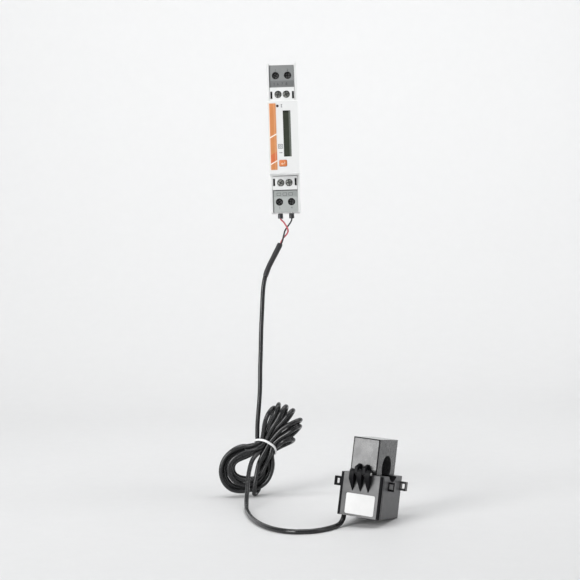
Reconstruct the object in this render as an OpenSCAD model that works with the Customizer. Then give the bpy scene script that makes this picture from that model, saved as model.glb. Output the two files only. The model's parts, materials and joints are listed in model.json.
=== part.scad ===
// Single-phase energy meter, one module wide, for 35 mm rail, with a split-core
// current sensor on a thin two-core cable. Millimetres.
// Frame: X to the right, Z up, the display faces -Y. The origin is the middle of
// the face that bears on the front of the rail's flanges.

/* [Meter body] */
// Width of the body, one rail module
body_w = 18; // [17.5:0.5:18]
// Height over the terminal shoulders
body_h = 90; // [90:1:92]
// Height of the raised front section
front_h = 45; // [44:0.5:45]
// Distance from the rail face to the display face
front_depth = 58; // [57:0.5:60]
// Wall thickness of the mouldings
wall = 1.3; // [1.1:0.1:1.4]

/* [Display and key] */
// Width of the display window
win_w = 4.6; // [4:0.1:5]
// Height of the display window
win_h = 27.6; // [24:0.2:28]
// Width of the key cap
key_w = 4.6; // [4:0.1:5]
// Height of the key cap
key_h = 3.8; // [3.4:0.1:4]
// Travel of the key
key_travel = 0.5; // [0.3:0.1:0.6]

/* [Terminals] */
// Centre distance of the two main terminals
main_pitch = 7.4; // [7.2:0.1:7.4]
// Wire entry diameter of a main terminal
main_entry_d = 5.0; // [4:0.5:5]
// Centre distance of the two signal terminals
sig_pitch = 5.0; // [4.8:0.1:5]
// Wire entry diameter of a signal terminal
sig_entry_d = 3.0; // [2.4:0.2:3]

/* [Rail clip] */
// Width of the sliding clip
clip_w = 12; // [11:0.5:12]

/* [Current sensor] */
// Diameter of the sensor's conductor window
ap_d = 14; // [12:0.5:14]
// Width of the sensor base along the conductor
ct_w = 24.2; // [24:0.2:26]
// Depth of the sensor base across the conductor
ct_d = 31.4; // [31:0.2:33]
// Height of the joint face above the sensor's underside
ct_h = 23.2; // [23:0.2:25]
// Height of the sensor cap above the joint face
cap_h = 19.4; // [19:0.2:21]

/* [Cable] */
// Outer diameter of the two-core cable
cable_d = 2.7; // [2.4:0.1:2.8]
// Outer diameter of each core wire
core_d = 1.0; // [1:0.1:1.3]
// Outer diameter of the sleeve where the cores leave the cable
sleeve_d = 3.4; // [3.2:0.1:3.6]

/* [Hidden] */
$fn = 48;
hw = body_w / 2;
hh = body_h / 2;
fh = front_h / 2;
inw = hw - wall;              // half width of the inside
ya = -46;                     // parting face of the front cover
yf = -front_depth;            // display face
mx = main_pitch / 2;
sx = sig_pitch / 2;
mz = 38.4;                    // height of the main screws
sz = 26.8;                    // height of the signal screws
lcd_x = 2.3; lcd_z = 2.1;     // middle of the display window
key_x = -0.65; key_z = -15.6; // middle of the key
led_x = -3.1; led_z = 18.7;   // pulse light
main_travel = 3.5;            // rise of a main clamp cage, 7 turns of M3
sig_travel = 2.25;            // rise of a signal clamp cage, 5 turns of M2.5
seat = 15.9;                  // half height of the rail seat, relieved beside the hook and the clip
fer_x = [-3.4, 3.5];           // ferrules across the body
fer_y = -32.28;               // ferrule axis behind the display side

// current sensor: place of the middle of its underside, and its lean
ct_pos = [39.8, -135.1, -214.5];
ct_rot = [-8.5, 5.5, -25];
ap_r = ap_d / 2;
ap_z = ct_h + 3.9;            // conductor axis above the underside
cap_w = 15.4;
cap_d = 28.4;
pin_y = -ct_d / 2 - 2.3;
pin_z = ct_h + 0.6;
kn_x = 4.55;                   // pitch of the hinge knuckles

// route of the cores, the sleeve and the cable
red_pts = [[-3.4,-32.28,-48.6],[-2.95,-32.4,-49.25],[-1.5,-32.8,-50.7],[-0.1,-33.2,-52.9],[0.8,-33.4,-54.9],[0.9,-33.2,-56.5],[0.2,-32.8,-58.0],[-1.0,-32.6,-59.3],[-2.1,-32.6,-60.4],[-3.0,-33.2,-61.8],[-3.8,-34.0,-63.6]];
black_pts = [[3.5,-32.28,-48.6],[3.4,-32.2,-49.4],[2.8,-32.1,-50.7],[1.5,-31.9,-52.5],[0.1,-32.0,-54.3],[-1.0,-32.5,-56.1],[-1.6,-33.4,-58.0],[-2.1,-34.0,-60.0],[-2.6,-34.3,-62.0],[-3.4,-34.6,-63.9]];
sleeve_pts = [[-4.1,-34.4,-63.9],[-5.1,-34.9,-65.9],[-8.2,-36.2,-71.6],[-11.4,-37.8,-77.5],[-13.2,-38.9,-81.8],[-13.9,-39.5,-83.8]];
upper_pts = [[-13.9,-39.5,-83.8],[-14.7,-40.3,-87.0],[-15.5,-41.2,-92.0],[-16.0,-42.0,-98.0],[-16.6,-43.0,-106],[-17.2,-44.0,-114],[-17.7,-44.9,-122.5],[-18.1,-45.7,-130.5],[-18.6,-46.4,-138.5],[-18.9,-47.0,-146.0],[-19.3,-47.4,-153.5],[-19.9,-47.6,-160.0],[-20.7,-47.7,-167.0],[-21.4,-47.6,-174.0],[-21.8,-47.4,-181.8]];
lower_pts = [[-24.0,-52.2,-190.5],[-25.2,-56.5,-194.4],[-26.5,-62.0,-198.0],[-27.4,-69.0,-202.4],[-27.8,-77.5,-208.0],[-28.2,-84.5,-212.4],[-28.2,-91.0,-215.5],[-27.8,-98.0,-216.6],[-26.8,-106,-216.65],[-25.6,-114,-216.65],[-24.0,-122,-216.65],[-21.9,-130,-216.65],[-19.3,-138,-216.65],[-16.0,-145.5,-216.65],[-11.7,-152.5,-216.65],[-6.2,-158.3,-216.65],[0.4,-161.6,-216.65],[7.2,-161.8,-216.65],[13.2,-159.2,-216.65],[18.0,-154.9,-216.65],[22.0,-149.6,-216.6],[24.3,-146.3,-215.9],[25.7,-144.2,-214.4],[26.3,-143.2,-213.1],[26.58,-142.7,-211.8],[26.7,-142.6,-210.9]];

// ---------- helpers ----------
module box(x0, x1, y0, y1, z0, z1) translate([x0, y0, z0]) cube([x1 - x0, y1 - y0, z1 - z0]);
// round bar along Y, along X, along Z
module ycyl(r, y0, y1) translate([0, y0, 0]) rotate([-90, 0, 0]) cylinder(r = r, h = y1 - y0);
module xcyl(r, x0, x1) translate([x0, 0, 0]) rotate([0, 90, 0]) cylinder(r = r, h = x1 - x0);
module zcyl(r, z0, z1) translate([0, 0, z0]) cylinder(r = r, h = z1 - z0);
// a (Y, Z) outline drawn out along X, and an (X, Z) outline drawn out along Y
module along_x(x0, x1) translate([x0, 0, 0]) rotate([90, 0, 90]) linear_extrude(x1 - x0) children();
module along_y(y0, y1) translate([0, y1, 0]) rotate([90, 0, 0]) linear_extrude(y1 - y0) children();
// rectangle with round corners
module rrect(w, h, r) {
  square([w - 2 * r, h], center = true);
  square([w, h - 2 * r], center = true);
  for (i = [-1, 1], j = [-1, 1]) translate([i * (w / 2 - r), j * (h / 2 - r)]) circle(r);
}
module both_sides() { children(); mirror([1, 0, 0]) children(); }
module place_ct() translate(ct_pos) rotate(ct_rot) children();
// tube swept along points
function unit(v) = v / norm(v);
function tangent(p, i) = unit(p[min(i + 1, len(p) - 1)] - p[max(i - 1, 0)]);
module tube(p, r, ref, n = 8) {
  m = len(p);
  v = [for (i = [0:m - 1]) let (t = tangent(p, i), a = unit(cross(t, ref)), b = cross(t, a))
       for (k = [0:n - 1]) p[i] + r * (cos(360 * k / n) * a + sin(360 * k / n) * b)];
  polyhedron(points = v, faces = concat(
    [[for (k = [0:n - 1]) k]],
    [[for (k = [0:n - 1]) (m - 1) * n + n - 1 - k]],
    [for (i = [0:m - 2], k = [0:n - 1]) let (a = i * n + k, b = i * n + (k + 1) % n) [a, a + n, b + n, b]]), convexity = 8);
}

// ---------- meter body ----------
module base_housing() color("whitesmoke") {
  difference() {
    along_x(-hw, hw) polygon([[ya, -fh], [ya, fh], [-45.2, fh], [-45.2, hh + 1], [-41, hh + 1], [-40, hh],
      [-4, hh], [6.5, 36], [6.5, 21], [3.7, 16.2], [1.3, 16.2], [1.3, 17.8], [-0.3, 17.8], [-0.3, seat], [0, seat],
      [0, -seat], [-0.3, -seat], [-0.3, -17.8], [6.5, -17.8], [6.5, -36], [-4, -hh], [-45.2, -hh], [-45.2, -fh]]);
    // front section
    box(-inw, inw, -60, -1.6, -fh + 1.2, fh - 1.2);
    // terminal ends, open to the front and the end
    box(-inw, inw, -60, -16, fh, 60);
    box(-inw, inw, -60, -16, -60, -fh);
    // space behind the terminals
    box(-inw, inw, -14.5, -1.6, -39, 39);
    box(-inw + 0.3, inw - 0.3, -1.7, 4.9, 22, 34);
    // pocket of the rail clip
    box(-clip_w / 2 - 0.3, clip_w / 2 + 0.3, 0.7, 8, -60, -17.8);
    // slots for the contact strips
    both_sides() for (s = [0, 1]) mirror([0, 0, s]) {
      box(4.4, inw, -34.3, -32.7, 20, 24);
      box(1.3, 3.7, -26.4, -24.8, 20, 24);
    }
  }
  // lips that hold the clip
  both_sides() box(clip_w / 2 - 0.8, clip_w / 2 + 0.5, 4.6, 5.8, -36, -22);
  // stop peg of the clip, seat of its spring
  box(-1.8, 1.8, 0.5, 4.0, -36, -34);
}

module front_cover() color("white") difference() {
  union() {
    intersection() {
      along_y(yf, ya) rrect(body_w, front_h, 0.8);
      along_x(-hw, hw) polygon([[ya, -fh], [ya, fh], [yf + 0.6, fh - 0.5], [yf, fh - 1], [yf, -fh + 1], [yf + 0.6, -fh + 0.5]]);
    }
    // skirt inside the base
    box(-inw + 0.1, inw - 0.1, ya - 1, -41, -fh + 1.3, fh - 1.3);
  }
  box(-inw + 1.1, inw - 1.1, yf + 1.2, -30, -fh + 2.3, fh - 2.3);
  translate([lcd_x, 0, lcd_z]) box(-win_w / 2, win_w / 2, yf - 1, yf + 2, -win_h / 2, win_h / 2);
  translate([key_x, 0, key_z]) along_y(yf - 1, yf + 2) rrect(key_w + 0.3, key_h + 0.3, 0.9);
  translate([led_x, 0, led_z]) ycyl(0.85, yf - 1, yf + 2);
  // shallow seat of the coloured stripe
  box(-8.5, -3.9, yf - 1, yf + 0.2, -19.7, 20.5);
}

module side_stripe() color("darkorange") box(-8.4, -4.0, yf - 0.02, yf + 0.18, -19.6, 20.4);

module display_window() color([0.2, 0.22, 0.18, 0.6]) translate([lcd_x, 0, lcd_z])
  box(-win_w / 2 + 0.05, win_w / 2 - 0.05, yf + 0.15, yf + 1.2, -win_h / 2 + 0.05, win_h / 2 - 0.05);

module display_glass() color([0.35, 0.4, 0.3]) translate([lcd_x - 0.3, 0, lcd_z]) box(-3.2, 3.2, yf + 1.4, yf + 2.7, -14.6, 14.6);

module display_holder() color("gainsboro") translate([lcd_x - 0.3, 0, lcd_z]) difference() {
  box(-3.9, 3.9, yf + 1.5, yf + 4.6, -15.2, 15.2);
  box(-3.25, 3.25, yf + 1, yf + 2.75, -14.65, 14.65);
}

module display_board() color("darkgreen") difference() {
  box(-6.4, 6.4, yf + 4.6, yf + 5.8, -19.8, 19.8);
  box(5.6, 7, yf + 4, yf + 6, -3, 3);
}

module main_board() color("green") box(-0.8, 0.8, -48.5, -3, -20, 20);

module board_connector() color("black") box(0.8, 3.4, yf + 5.8, -46.4, -7, 7);

module film_capacitor() color("goldenrod") along_y(-24, -11) translate([3.9, 8.5]) rrect(6, 13, 0.6);

module electrolytic_capacitors() color("midnightblue") for (y = [-32.5, -39]) translate([3.5, y, 0]) {
  zcyl(2.65, -12, -0.4);
  zcyl(2.4, -0.4, 0);
}

module power_transformer() color("dimgray") translate([0, 0, -9]) {
  box(0.8, 7.0, -25, -22.5, -5, 5);
  box(0.8, 7.0, -14.5, -12, -5, 5);
  translate([3.9, 0, 0]) ycyl(2.9, -22.5, -14.5);
}

module varistor() color("royalblue") translate([0, -12, 12]) xcyl(3.6, -4.4, -0.8);

// metering chip, processor and three optocouplers
module board_chips() color("black") {
  box(-2.5, -0.8, -34, -28, -14, -4);
  box(-2.4, -0.8, -46, -37, -4.5, 4.5);
  for (y = [-30, -23, -16]) box(-4.3, -0.8, y, y + 4.6, -1, 5.5);
}

module pulse_light_pipe() color("crimson") translate([led_x, 0, led_z]) ycyl(0.8, yf + 0.1, yf + 4.6);

// ---------- key ----------
module display_button() color("orangered") translate([key_x, 0, key_z]) {
  along_y(yf - 0.4, yf + 1.4) rrect(key_w, key_h, 0.8);
  along_y(yf + 1.35, yf + 1.9) rrect(key_w + 1.2, key_h + 1.2, 0.8);
}

module switch_plunger() color("ivory") translate([key_x, 0, key_z]) ycyl(0.9, yf + 1.9, yf + 3.4);

module tact_switch() color("silver") translate([key_x, 0, key_z]) difference() {
  box(-1.9, 1.9, yf + 2.8, yf + 4.6, -1.9, 1.2);
  ycyl(0.96, yf + 2, yf + 4.1);
}

// ---------- terminals ----------
// block that holds two main and two signal clamps, drawn for the upper end
module carrier() difference() {
  box(-inw + 0.1, inw - 0.1, -43, -16.1, fh + 0.1, hh - 0.1);
  both_sides() {
    // main clamp: chamber, ledge hole, screw access
    box(mx - 2.95, inw + 1, -39.9, -26.4, 35.2, 41.9);
    translate([mx, 0, mz]) { ycyl(1.6, -41, -39); ycyl(2.2, -44, -40.6); }
    translate([mx, -30.5, 0]) zcyl(main_entry_d / 2, 41, 46);
    // signal clamp
    box(sx - 2.15, inw + 1, -30.95, -21.1, 24.6, 29.0);
    translate([sx, 0, sz]) ycyl(1.35, -44, -30);
    translate([sx, -23.7, 0]) zcyl(sig_entry_d / 2, 28, 46);
    // contact strips
    box(1.75, inw + 1, -34.2, -32.8, 33.1, 36);
    box(4.5, inw + 1, -34.2, -32.8, fh - 1, 34);
    box(1.45, 3.55, -26.2, -25.0, fh - 1, 25);
  }
}
module upper_terminal_carrier() color("gainsboro") carrier();
module lower_terminal_carrier() color("gainsboro") mirror([0, 0, 1]) carrier();

module plate() difference() {
  box(-inw + 0.15, inw - 0.15, -44.3, -43, 31.25, hh - 0.4);
  both_sides() translate([mx, 0, mz]) ycyl(2.2, -45, -42);
}
module upper_terminal_plate() color("dimgray") plate();
module lower_terminal_plate() color("darkgray") mirror([0, 0, 1]) plate();

module signal_cover() difference() {
  box(-inw + 0.15, inw - 0.15, -45.6, -43, fh + 0.3, 31.05);
  both_sides() {
    translate([sx, 0, sz]) ycyl(2.2, -46, -42);
    box(6.0, 7.15, -46, -43.6, 24.2, 28.6);
  }
}
module upper_signal_cover() color("white") signal_cover();
module lower_signal_cover() color("white") mirror([0, 0, 1]) signal_cover();

// screw with a slot and a cross, head towards the user
module screw(head_r, head_y, head_t, shank_r, tip_y) difference() {
  union() {
    ycyl(head_r, head_y, head_y + head_t);
    ycyl(shank_r, head_y + head_t, tip_y);
  }
  for (a = [0, 90]) rotate([0, a, 0]) box(-head_r - 1, head_r + 1, head_y - 1, head_y + (a == 0 ? 0.7 : 0.55), -0.3, 0.3);
}
module main_screw(x, z) color("silver") translate([x, 0, z]) screw(1.95, -42.2, 1.6, 1.5, -34.0);
module signal_screw(x, z) color("silver") translate([x, 0, z]) screw(2.05, -44.9, 1.85, 1.25, -26.0);
module main_screw_upper_left() main_screw(-mx, mz);
module main_screw_upper_right() main_screw(mx, mz);
module main_screw_lower_left() main_screw(-mx, -mz);
module main_screw_lower_right() main_screw(mx, -mz);
module signal_screw_upper_left() signal_screw(-sx, sz);
module signal_screw_upper_right() signal_screw(sx, sz);
module signal_screw_lower_left() signal_screw(-sx, -sz);
module signal_screw_lower_right() signal_screw(sx, -sz);

// rising clamp cage: a box tube along Z, threaded at the screw's side
module main_cage(x, z, up) color("gold") translate([x, -up, z]) difference() {
  box(-2.8, 2.8, -35.8, -27.1, -3, 3);
  box(-1.95, 1.95, -34.4, -28.1, -4, 4);
  ycyl(1.55, -37, -34);
}
module signal_cage(x, z) color("gold") translate([x, 0, z]) difference() {
  box(-2.0, 2.0, -28.4, -21.4, -2, 2);
  box(-1.25, 1.25, -27.2, -22.2, -3, 3);
  ycyl(1.3, -30, -27);
}
module main_cage_upper_left() main_cage(-mx, mz, 0);
module main_cage_upper_right() main_cage(mx, mz, 0);
module main_cage_lower_left() main_cage(-mx, -mz, main_travel);
module main_cage_lower_right() main_cage(mx, -mz, main_travel);
module signal_cage_upper_left() signal_cage(-sx, sz);
module signal_cage_upper_right() signal_cage(sx, sz);
module signal_cage_lower_left() signal_cage(-sx, -sz);
module signal_cage_lower_right() signal_cage(sx, -sz);

// strips under the screw tips, bent to the main board
module terminal_contacts() color("peru") both_sides() for (s = [0, 1]) mirror([0, 0, s]) {
  along_y(-34, -33) polygon([[mx - 1.8, 41.3], [mx + 1.8, 41.3], [mx + 1.8, 34.6], [6.3, 34.6], [6.3, 17], [0.8, 17],
    [0.8, 18.6], [4.7, 18.6], [4.7, 33.3], [mx - 1.8, 33.3]]);
  along_y(-26, -25.2) polygon([[1.6, 28.9], [3.4, 28.9], [3.4, 17], [0.8, 17], [0.8, 18.6], [1.6, 18.6]]);
}

// ---------- rail clip ----------
module rail_clip() color("lightgray") difference() {
  union() {
    along_x(-clip_w / 2, clip_w / 2) polygon([[1.0, -17.8], [1.3, -17.8], [1.3, -16.0], [2.0, -16.0], [4.3, -18.4], [4.3, -44.3], [1.0, -44.3]]);
    box(-4.6, 4.6, 4.2, 5.5, -44.3, -37);
  }
  // window of the spring and the stop peg
  box(-2.2, 2.2, 0, 7, -36.2, -24);
  // slot for a screwdriver's tip
  box(-2.2, 2.2, 0, 7, -42.6, -41);
}

module clip_spring() color("slategray") {
  turns = 6; seg = 14; r = 1.3; h0 = -33.7; h1 = -24.3;
  pts = [for (i = [0:turns * seg]) let (a = 360 * i / seg) [r * cos(a), 2.5 + r * sin(a), h0 + (h1 - h0) * i / (turns * seg)]];
  tube(pts, 0.26, [0, 0, 1], 6);
}

// ---------- leads at the lower main terminals ----------
module wire_ferrules() for (x = fer_x) translate([x, fer_y, 0]) {
  color("silver") zcyl(0.67, -hh - 0.2, -35.6);
  color("dimgray") difference() {
    zcyl(1.6, -hh - 3.4, -hh - 0.2);
    zcyl(0.62, -hh - 4, -hh - 3.2);
  }
}
module red_wire() color("crimson") tube(red_pts, core_d / 2, [0.1, 1, 0.05]);
module black_wire() color([0.1, 0.1, 0.1]) tube(black_pts, core_d / 2, [0.1, 1, 0.05]);
module cable_sleeve() color([0.12, 0.12, 0.12]) tube(sleeve_pts, sleeve_d / 2, [0.1, 1, 0]);
module cable_upper() color([0.15, 0.15, 0.15]) tube(upper_pts, cable_d / 2, [1, 0.2, 0]);
module cable_lower() color([0.15, 0.15, 0.15]) tube(lower_pts, cable_d / 2, [-0.6, 0.5, 0.62]);

// folded turns of the cable as one solid: two lobes and the tied waist
module cable_hank() color([0.18, 0.18, 0.18]) along_y(-54.05, -40.15) {
  hull() { translate([-30, -201]) circle(16.2, $fn = 32); translate([-24.6, -206.4]) circle(11.5, $fn = 32); }
  hull() { translate([-5.6, -171.4]) circle(9.9, $fn = 32); translate([-6.6, -180]) circle(8, $fn = 32); }
  translate([-17, -186]) rotate(45) square([22, 12], center = true);
}
module cable_tie() color("white") translate([-17, 0, -186]) rotate([0, -45, 0]) difference() {
  box(-0.8, 0.8, -54.85, -39.35, -6.8, 6.8);
  box(-2, 2, -54.05, -40.15, -6, 6);
}

// ---------- current sensor ----------
// strap eye on the side of the sensor base
module eye(y0) difference() {
  box(ct_w / 2 - 1.4, ct_w / 2 + 3.6, y0, y0 + 2.8, 15.3, 20.3);
  box(ct_w / 2 + 0.6, ct_w / 2 + 2.9, y0 - 1, y0 + 4, 16.4, 19.2);
}
module sensor_base() color([0.16, 0.16, 0.17]) place_ct() difference() {
  union() {
    linear_extrude(ct_h) rrect(ct_w, ct_d, 1);
    for (a = [0, 180]) rotate(a) { eye(ct_d / 2 - 3.1); eye(-5.8); }
    // pointed knuckles that carry the hinge pin
    for (x = [-kn_x, 0, kn_x]) {
      intersection() {
        along_x(x - 1.25, x + 1.25) polygon([[pin_y - 1.9, pin_z], [pin_y - 1.9, 20.5], [-ct_d / 2 - 0.25, 13.7], [-ct_d / 2 + 0.5, 13.7], [-ct_d / 2 + 0.5, ct_h], [pin_y, pin_z]]);
        along_y(pin_y - 3, -ct_d / 2 + 0.6) polygon([[x - 1.25, 26], [x + 1.25, 26], [x + 1.25, 19.5], [x + 0.12, 13.7], [x - 0.12, 13.7], [x - 1.25, 19.5]]);
      }
      translate([0, pin_y, pin_z]) xcyl(1.9, x - 1.25, x + 1.25);
    }
  }
  // trough of the conductor window
  translate([0, 0, ap_z]) xcyl(ap_r, -20, 20);
  // inside, open below
  box(-10.6, 10.6, -14.1, 14.1, -1, 18.6);
  // windows of the core's pole faces
  for (s = [-1, 1]) box(-6, 6, s > 0 ? 8.75 : -12.55, s > 0 ? 12.55 : -8.75, 10, 30);
  // recess of the latch
  box(-4.4, 4.4, ct_d / 2 - 1.3, 20, 14.6, 18.4);
  // hinge pin
  translate([0, pin_y, pin_z]) xcyl(0.9, -20, 20);
}

module sensor_bottom_plate() color([0.14, 0.14, 0.15]) place_ct() difference() {
  union() {
    translate([0, 0, 0.05]) linear_extrude(1.4) square([21.0, 28.0], center = true);
    // bush of the cable
    box(-10.4, -7.2, -13.9, -10.8, 0.05, 4);
  }
  translate([-9, -12.6, 0]) zcyl(1.42, -1, 9);
}

module sensor_cap() color([0.2, 0.2, 0.21]) place_ct() {
  difference() {
    translate([0, 0, ct_h + 0.15]) linear_extrude(cap_h) rrect(cap_w, cap_d, 0.5);
    translate([0, 0, ap_z]) xcyl(ap_r, -20, 20);
    // pocket of the core
    difference() {
      box(-6.05, 6.05, -12.6, 12.6, 10, ct_h + cap_h - 1.4);
      translate([0, 0, ap_z]) xcyl(ap_r + 1.2, -20, 20);
      box(-9, 9, -8.2, 8.2, 10, ap_z);
    }
  }
  // two hooks round the hinge pin
  for (x = [-kn_x / 2, kn_x / 2]) difference() {
    union() {
      along_x(x - 0.85, x + 0.85) polygon([[pin_y - 1.75, pin_z], [pin_y - 1.75, 26.9], [-cap_d / 2 + 0.3, 28.7], [-cap_d / 2 + 0.3, 26.9],
        [pin_y + 1.2, 25.7], [pin_y + 1.2, pin_z]]);
      translate([0, pin_y, pin_z]) xcyl(1.75, x - 0.85, x + 0.85);
    }
    translate([0, pin_y, pin_z]) xcyl(0.97, -20, 20);
    box(-9, 9, pin_y - 2.6, pin_y - 0.35, pin_z - 2, pin_z - 0.6);
  }
}

// U-shaped core halves
module sensor_cap_core() color("slategray") place_ct() difference() {
  box(-5.9, 5.9, -12.4, 12.4, ct_h + 0.1, ct_h + cap_h - 1.6);
  box(-9, 9, -8.9, 8.9, 10, ap_z);
  translate([0, 0, ap_z]) xcyl(ap_r + 1.4, -20, 20);
}
module sensor_base_core() color("slategray") place_ct() difference() {
  box(-5.8, 5.8, -12.4, 12.4, 6.5, ct_h);
  box(-9, 9, -8.9, 8.9, 11, 30);
}

module sensor_coil() color("chocolate") place_ct() difference() {
  along_y(-8.4, 8.4) translate([0, 8.9]) rrect(19.6, 12.2, 2.5);
  box(-5.9, 5.9, -20, 20, 6.4, 11.1);
}

module sensor_hinge_pin() color("silver") place_ct() translate([0, pin_y, pin_z]) xcyl(0.9, -6.3, 6.3);

module sensor_latch() color([0.2, 0.2, 0.21]) place_ct()
  along_x(-4, 4) polygon([[cap_d / 2, 37], [cap_d / 2 + 2.6, 37], [cap_d / 2 + 3, 36.6], [cap_d / 2 + 3, 15.2], [cap_d / 2 + 2.6, 14.9],
    [ct_d / 2 + 0.1, 15.2], [ct_d / 2 - 1.0, 17.2], [ct_d / 2 - 1.0, 17.9], [ct_d / 2 + 0.4, 17.9], [ct_d / 2 + 0.4, 32.6], [cap_d / 2, 33.8]]);

module sensor_label() color("white") place_ct() box(-7.7, 8.9, -ct_d / 2 - 0.12, -ct_d / 2, 1.2, 12.3);

base_housing();
front_cover();
side_stripe();
display_window();
display_glass();
display_holder();
display_board();
main_board();
board_connector();
film_capacitor();
electrolytic_capacitors();
power_transformer();
varistor();
board_chips();
pulse_light_pipe();
display_button();
switch_plunger();
tact_switch();
upper_terminal_carrier();
lower_terminal_carrier();
upper_terminal_plate();
lower_terminal_plate();
upper_signal_cover();
lower_signal_cover();
main_screw_upper_left();
main_screw_upper_right();
main_screw_lower_left();
main_screw_lower_right();
main_cage_upper_left();
main_cage_upper_right();
main_cage_lower_left();
main_cage_lower_right();
signal_screw_upper_left();
signal_screw_upper_right();
signal_screw_lower_left();
signal_screw_lower_right();
signal_cage_upper_left();
signal_cage_upper_right();
signal_cage_lower_left();
signal_cage_lower_right();
terminal_contacts();
rail_clip();
clip_spring();
wire_ferrules();
red_wire();
black_wire();
cable_sleeve();
cable_upper();
cable_hank();
cable_tie();
cable_lower();
sensor_base();
sensor_bottom_plate();
sensor_cap();
sensor_base_core();
sensor_cap_core();
sensor_coil();
sensor_hinge_pin();
sensor_latch();
sensor_label();
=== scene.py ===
import json
import math

import bmesh
import bpy
import numpy as np
from mathutils import Matrix, Vector

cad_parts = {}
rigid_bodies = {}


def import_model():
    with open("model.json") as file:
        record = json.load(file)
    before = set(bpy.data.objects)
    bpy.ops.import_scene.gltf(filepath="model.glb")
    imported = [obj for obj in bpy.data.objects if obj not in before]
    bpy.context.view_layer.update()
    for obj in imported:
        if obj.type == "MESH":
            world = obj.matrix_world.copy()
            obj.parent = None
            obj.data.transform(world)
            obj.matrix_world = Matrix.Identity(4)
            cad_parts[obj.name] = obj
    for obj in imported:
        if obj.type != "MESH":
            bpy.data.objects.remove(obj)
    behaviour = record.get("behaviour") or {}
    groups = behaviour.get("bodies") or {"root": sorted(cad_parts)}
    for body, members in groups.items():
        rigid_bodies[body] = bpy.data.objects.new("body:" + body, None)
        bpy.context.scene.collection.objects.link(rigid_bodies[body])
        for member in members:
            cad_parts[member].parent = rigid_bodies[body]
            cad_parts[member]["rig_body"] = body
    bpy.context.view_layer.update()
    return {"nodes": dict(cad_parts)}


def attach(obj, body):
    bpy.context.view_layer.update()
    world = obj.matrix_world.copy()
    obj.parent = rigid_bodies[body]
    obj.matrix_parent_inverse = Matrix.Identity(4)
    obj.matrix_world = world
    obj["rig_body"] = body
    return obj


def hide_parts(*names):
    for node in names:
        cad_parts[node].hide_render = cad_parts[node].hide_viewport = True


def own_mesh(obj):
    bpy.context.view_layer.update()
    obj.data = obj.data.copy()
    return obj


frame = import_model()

NODES = frame["nodes"]
SCENE = bpy.context.scene
SCENE.view_settings.view_transform = "Standard"
MM = 0.001

# ------------------------------------------------------------------ camera
PITCH = math.atan(50 / 1400)
ROLL = math.radians(1.8)


def make_camera():
    f = Vector((0, math.cos(PITCH), -math.sin(PITCH)))
    r = Vector((1, 0, 0))
    u = r.cross(f)
    right = r * math.cos(ROLL) - u * math.sin(ROLL)
    up = u * math.cos(ROLL) + r * math.sin(ROLL)
    cam = bpy.data.objects.new("camera", bpy.data.cameras.new("camera"))
    SCENE.collection.objects.link(cam)
    cam.matrix_world = Matrix((
        (right.x, up.x, -f.x, 1.036 * MM),
        (right.y, up.y, -f.y, -899.888 * MM),
        (right.z, up.z, -f.z, -61.752 * MM),
        (0, 0, 0, 1)))
    cam.data.sensor_width = 36
    cam.data.lens = 1400 / 580 * 36
    cam.data.clip_start = 0.01
    cam.data.clip_end = 20
    SCENE.camera = cam


make_camera()


# ------------------------------------------------------------------ materials
def tree(name):
    m = bpy.data.materials.new(name)
    m.use_nodes = True
    nt = m.node_tree
    b = nt.nodes["Principled BSDF"]
    return m, nt, b


def node(nt, kind, **values):
    n = nt.nodes.new(kind)
    for k, v in values.items():
        if k in n.inputs:
            n.inputs[k].default_value = v
        else:
            setattr(n, k, v)
    return n


def coords(nt, scale=(1, 1, 1)):
    tc = node(nt, "ShaderNodeTexCoord")
    mp = node(nt, "ShaderNodeMapping")
    mp.inputs["Scale"].default_value = scale
    nt.links.new(tc.outputs["Object"], mp.inputs["Vector"])
    return mp.outputs["Vector"]


def noise(nt, vec, scale, detail=3.0, rough=0.5):
    n = node(nt, "ShaderNodeTexNoise")
    n.inputs["Scale"].default_value = scale
    n.inputs["Detail"].default_value = detail
    n.inputs["Roughness"].default_value = rough
    nt.links.new(vec, n.inputs["Vector"])
    return n.outputs["Fac"]


def ramp(nt, fac, stops):
    r = node(nt, "ShaderNodeValToRGB")
    els = r.color_ramp.elements
    while len(els) < len(stops):
        els.new(0.5)
    for e, (p, c) in zip(els, stops):
        e.position = p
        e.color = (*c, 1) if len(c) == 3 else c
    nt.links.new(fac, r.inputs["Fac"])
    return r.outputs["Color"]


def span(nt, fac, lo, hi, a=0.0, b=1.0):
    r = node(nt, "ShaderNodeMapRange")
    r.inputs["From Min"].default_value = lo
    r.inputs["From Max"].default_value = hi
    r.inputs["To Min"].default_value = a
    r.inputs["To Max"].default_value = b
    nt.links.new(fac, r.inputs["Value"])
    return r.outputs["Result"]


def math_node(nt, op, a, b=None):
    n = node(nt, "ShaderNodeMath", operation=op)
    for i, v in enumerate((a, b)):
        if v is None:
            continue
        if isinstance(v, (int, float)):
            n.inputs[i].default_value = v
        else:
            nt.links.new(v, n.inputs[i])
    return n.outputs[0]


def mix(nt, fac, a, b):
    m = node(nt, "ShaderNodeMix", data_type="RGBA")
    nt.links.new(fac, m.inputs["Factor"])
    for s, v in (("A", a), ("B", b)):
        sock = [i for i in m.inputs if i.name == s and i.type == "RGBA"][0]
        if isinstance(v, tuple):
            sock.default_value = (*v, 1)
        else:
            nt.links.new(v, sock)
    return [o for o in m.outputs if o.type == "RGBA"][0]


def bump(nt, b, height, strength, distance):
    n = node(nt, "ShaderNodeBump")
    n.inputs["Strength"].default_value = strength
    n.inputs["Distance"].default_value = distance
    nt.links.new(height, n.inputs["Height"])
    nt.links.new(n.outputs["Normal"], b.inputs["Normal"])
    return n


def shade(c, k):
    return tuple(max(0.0, min(1.0, x * k)) for x in c)


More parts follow.
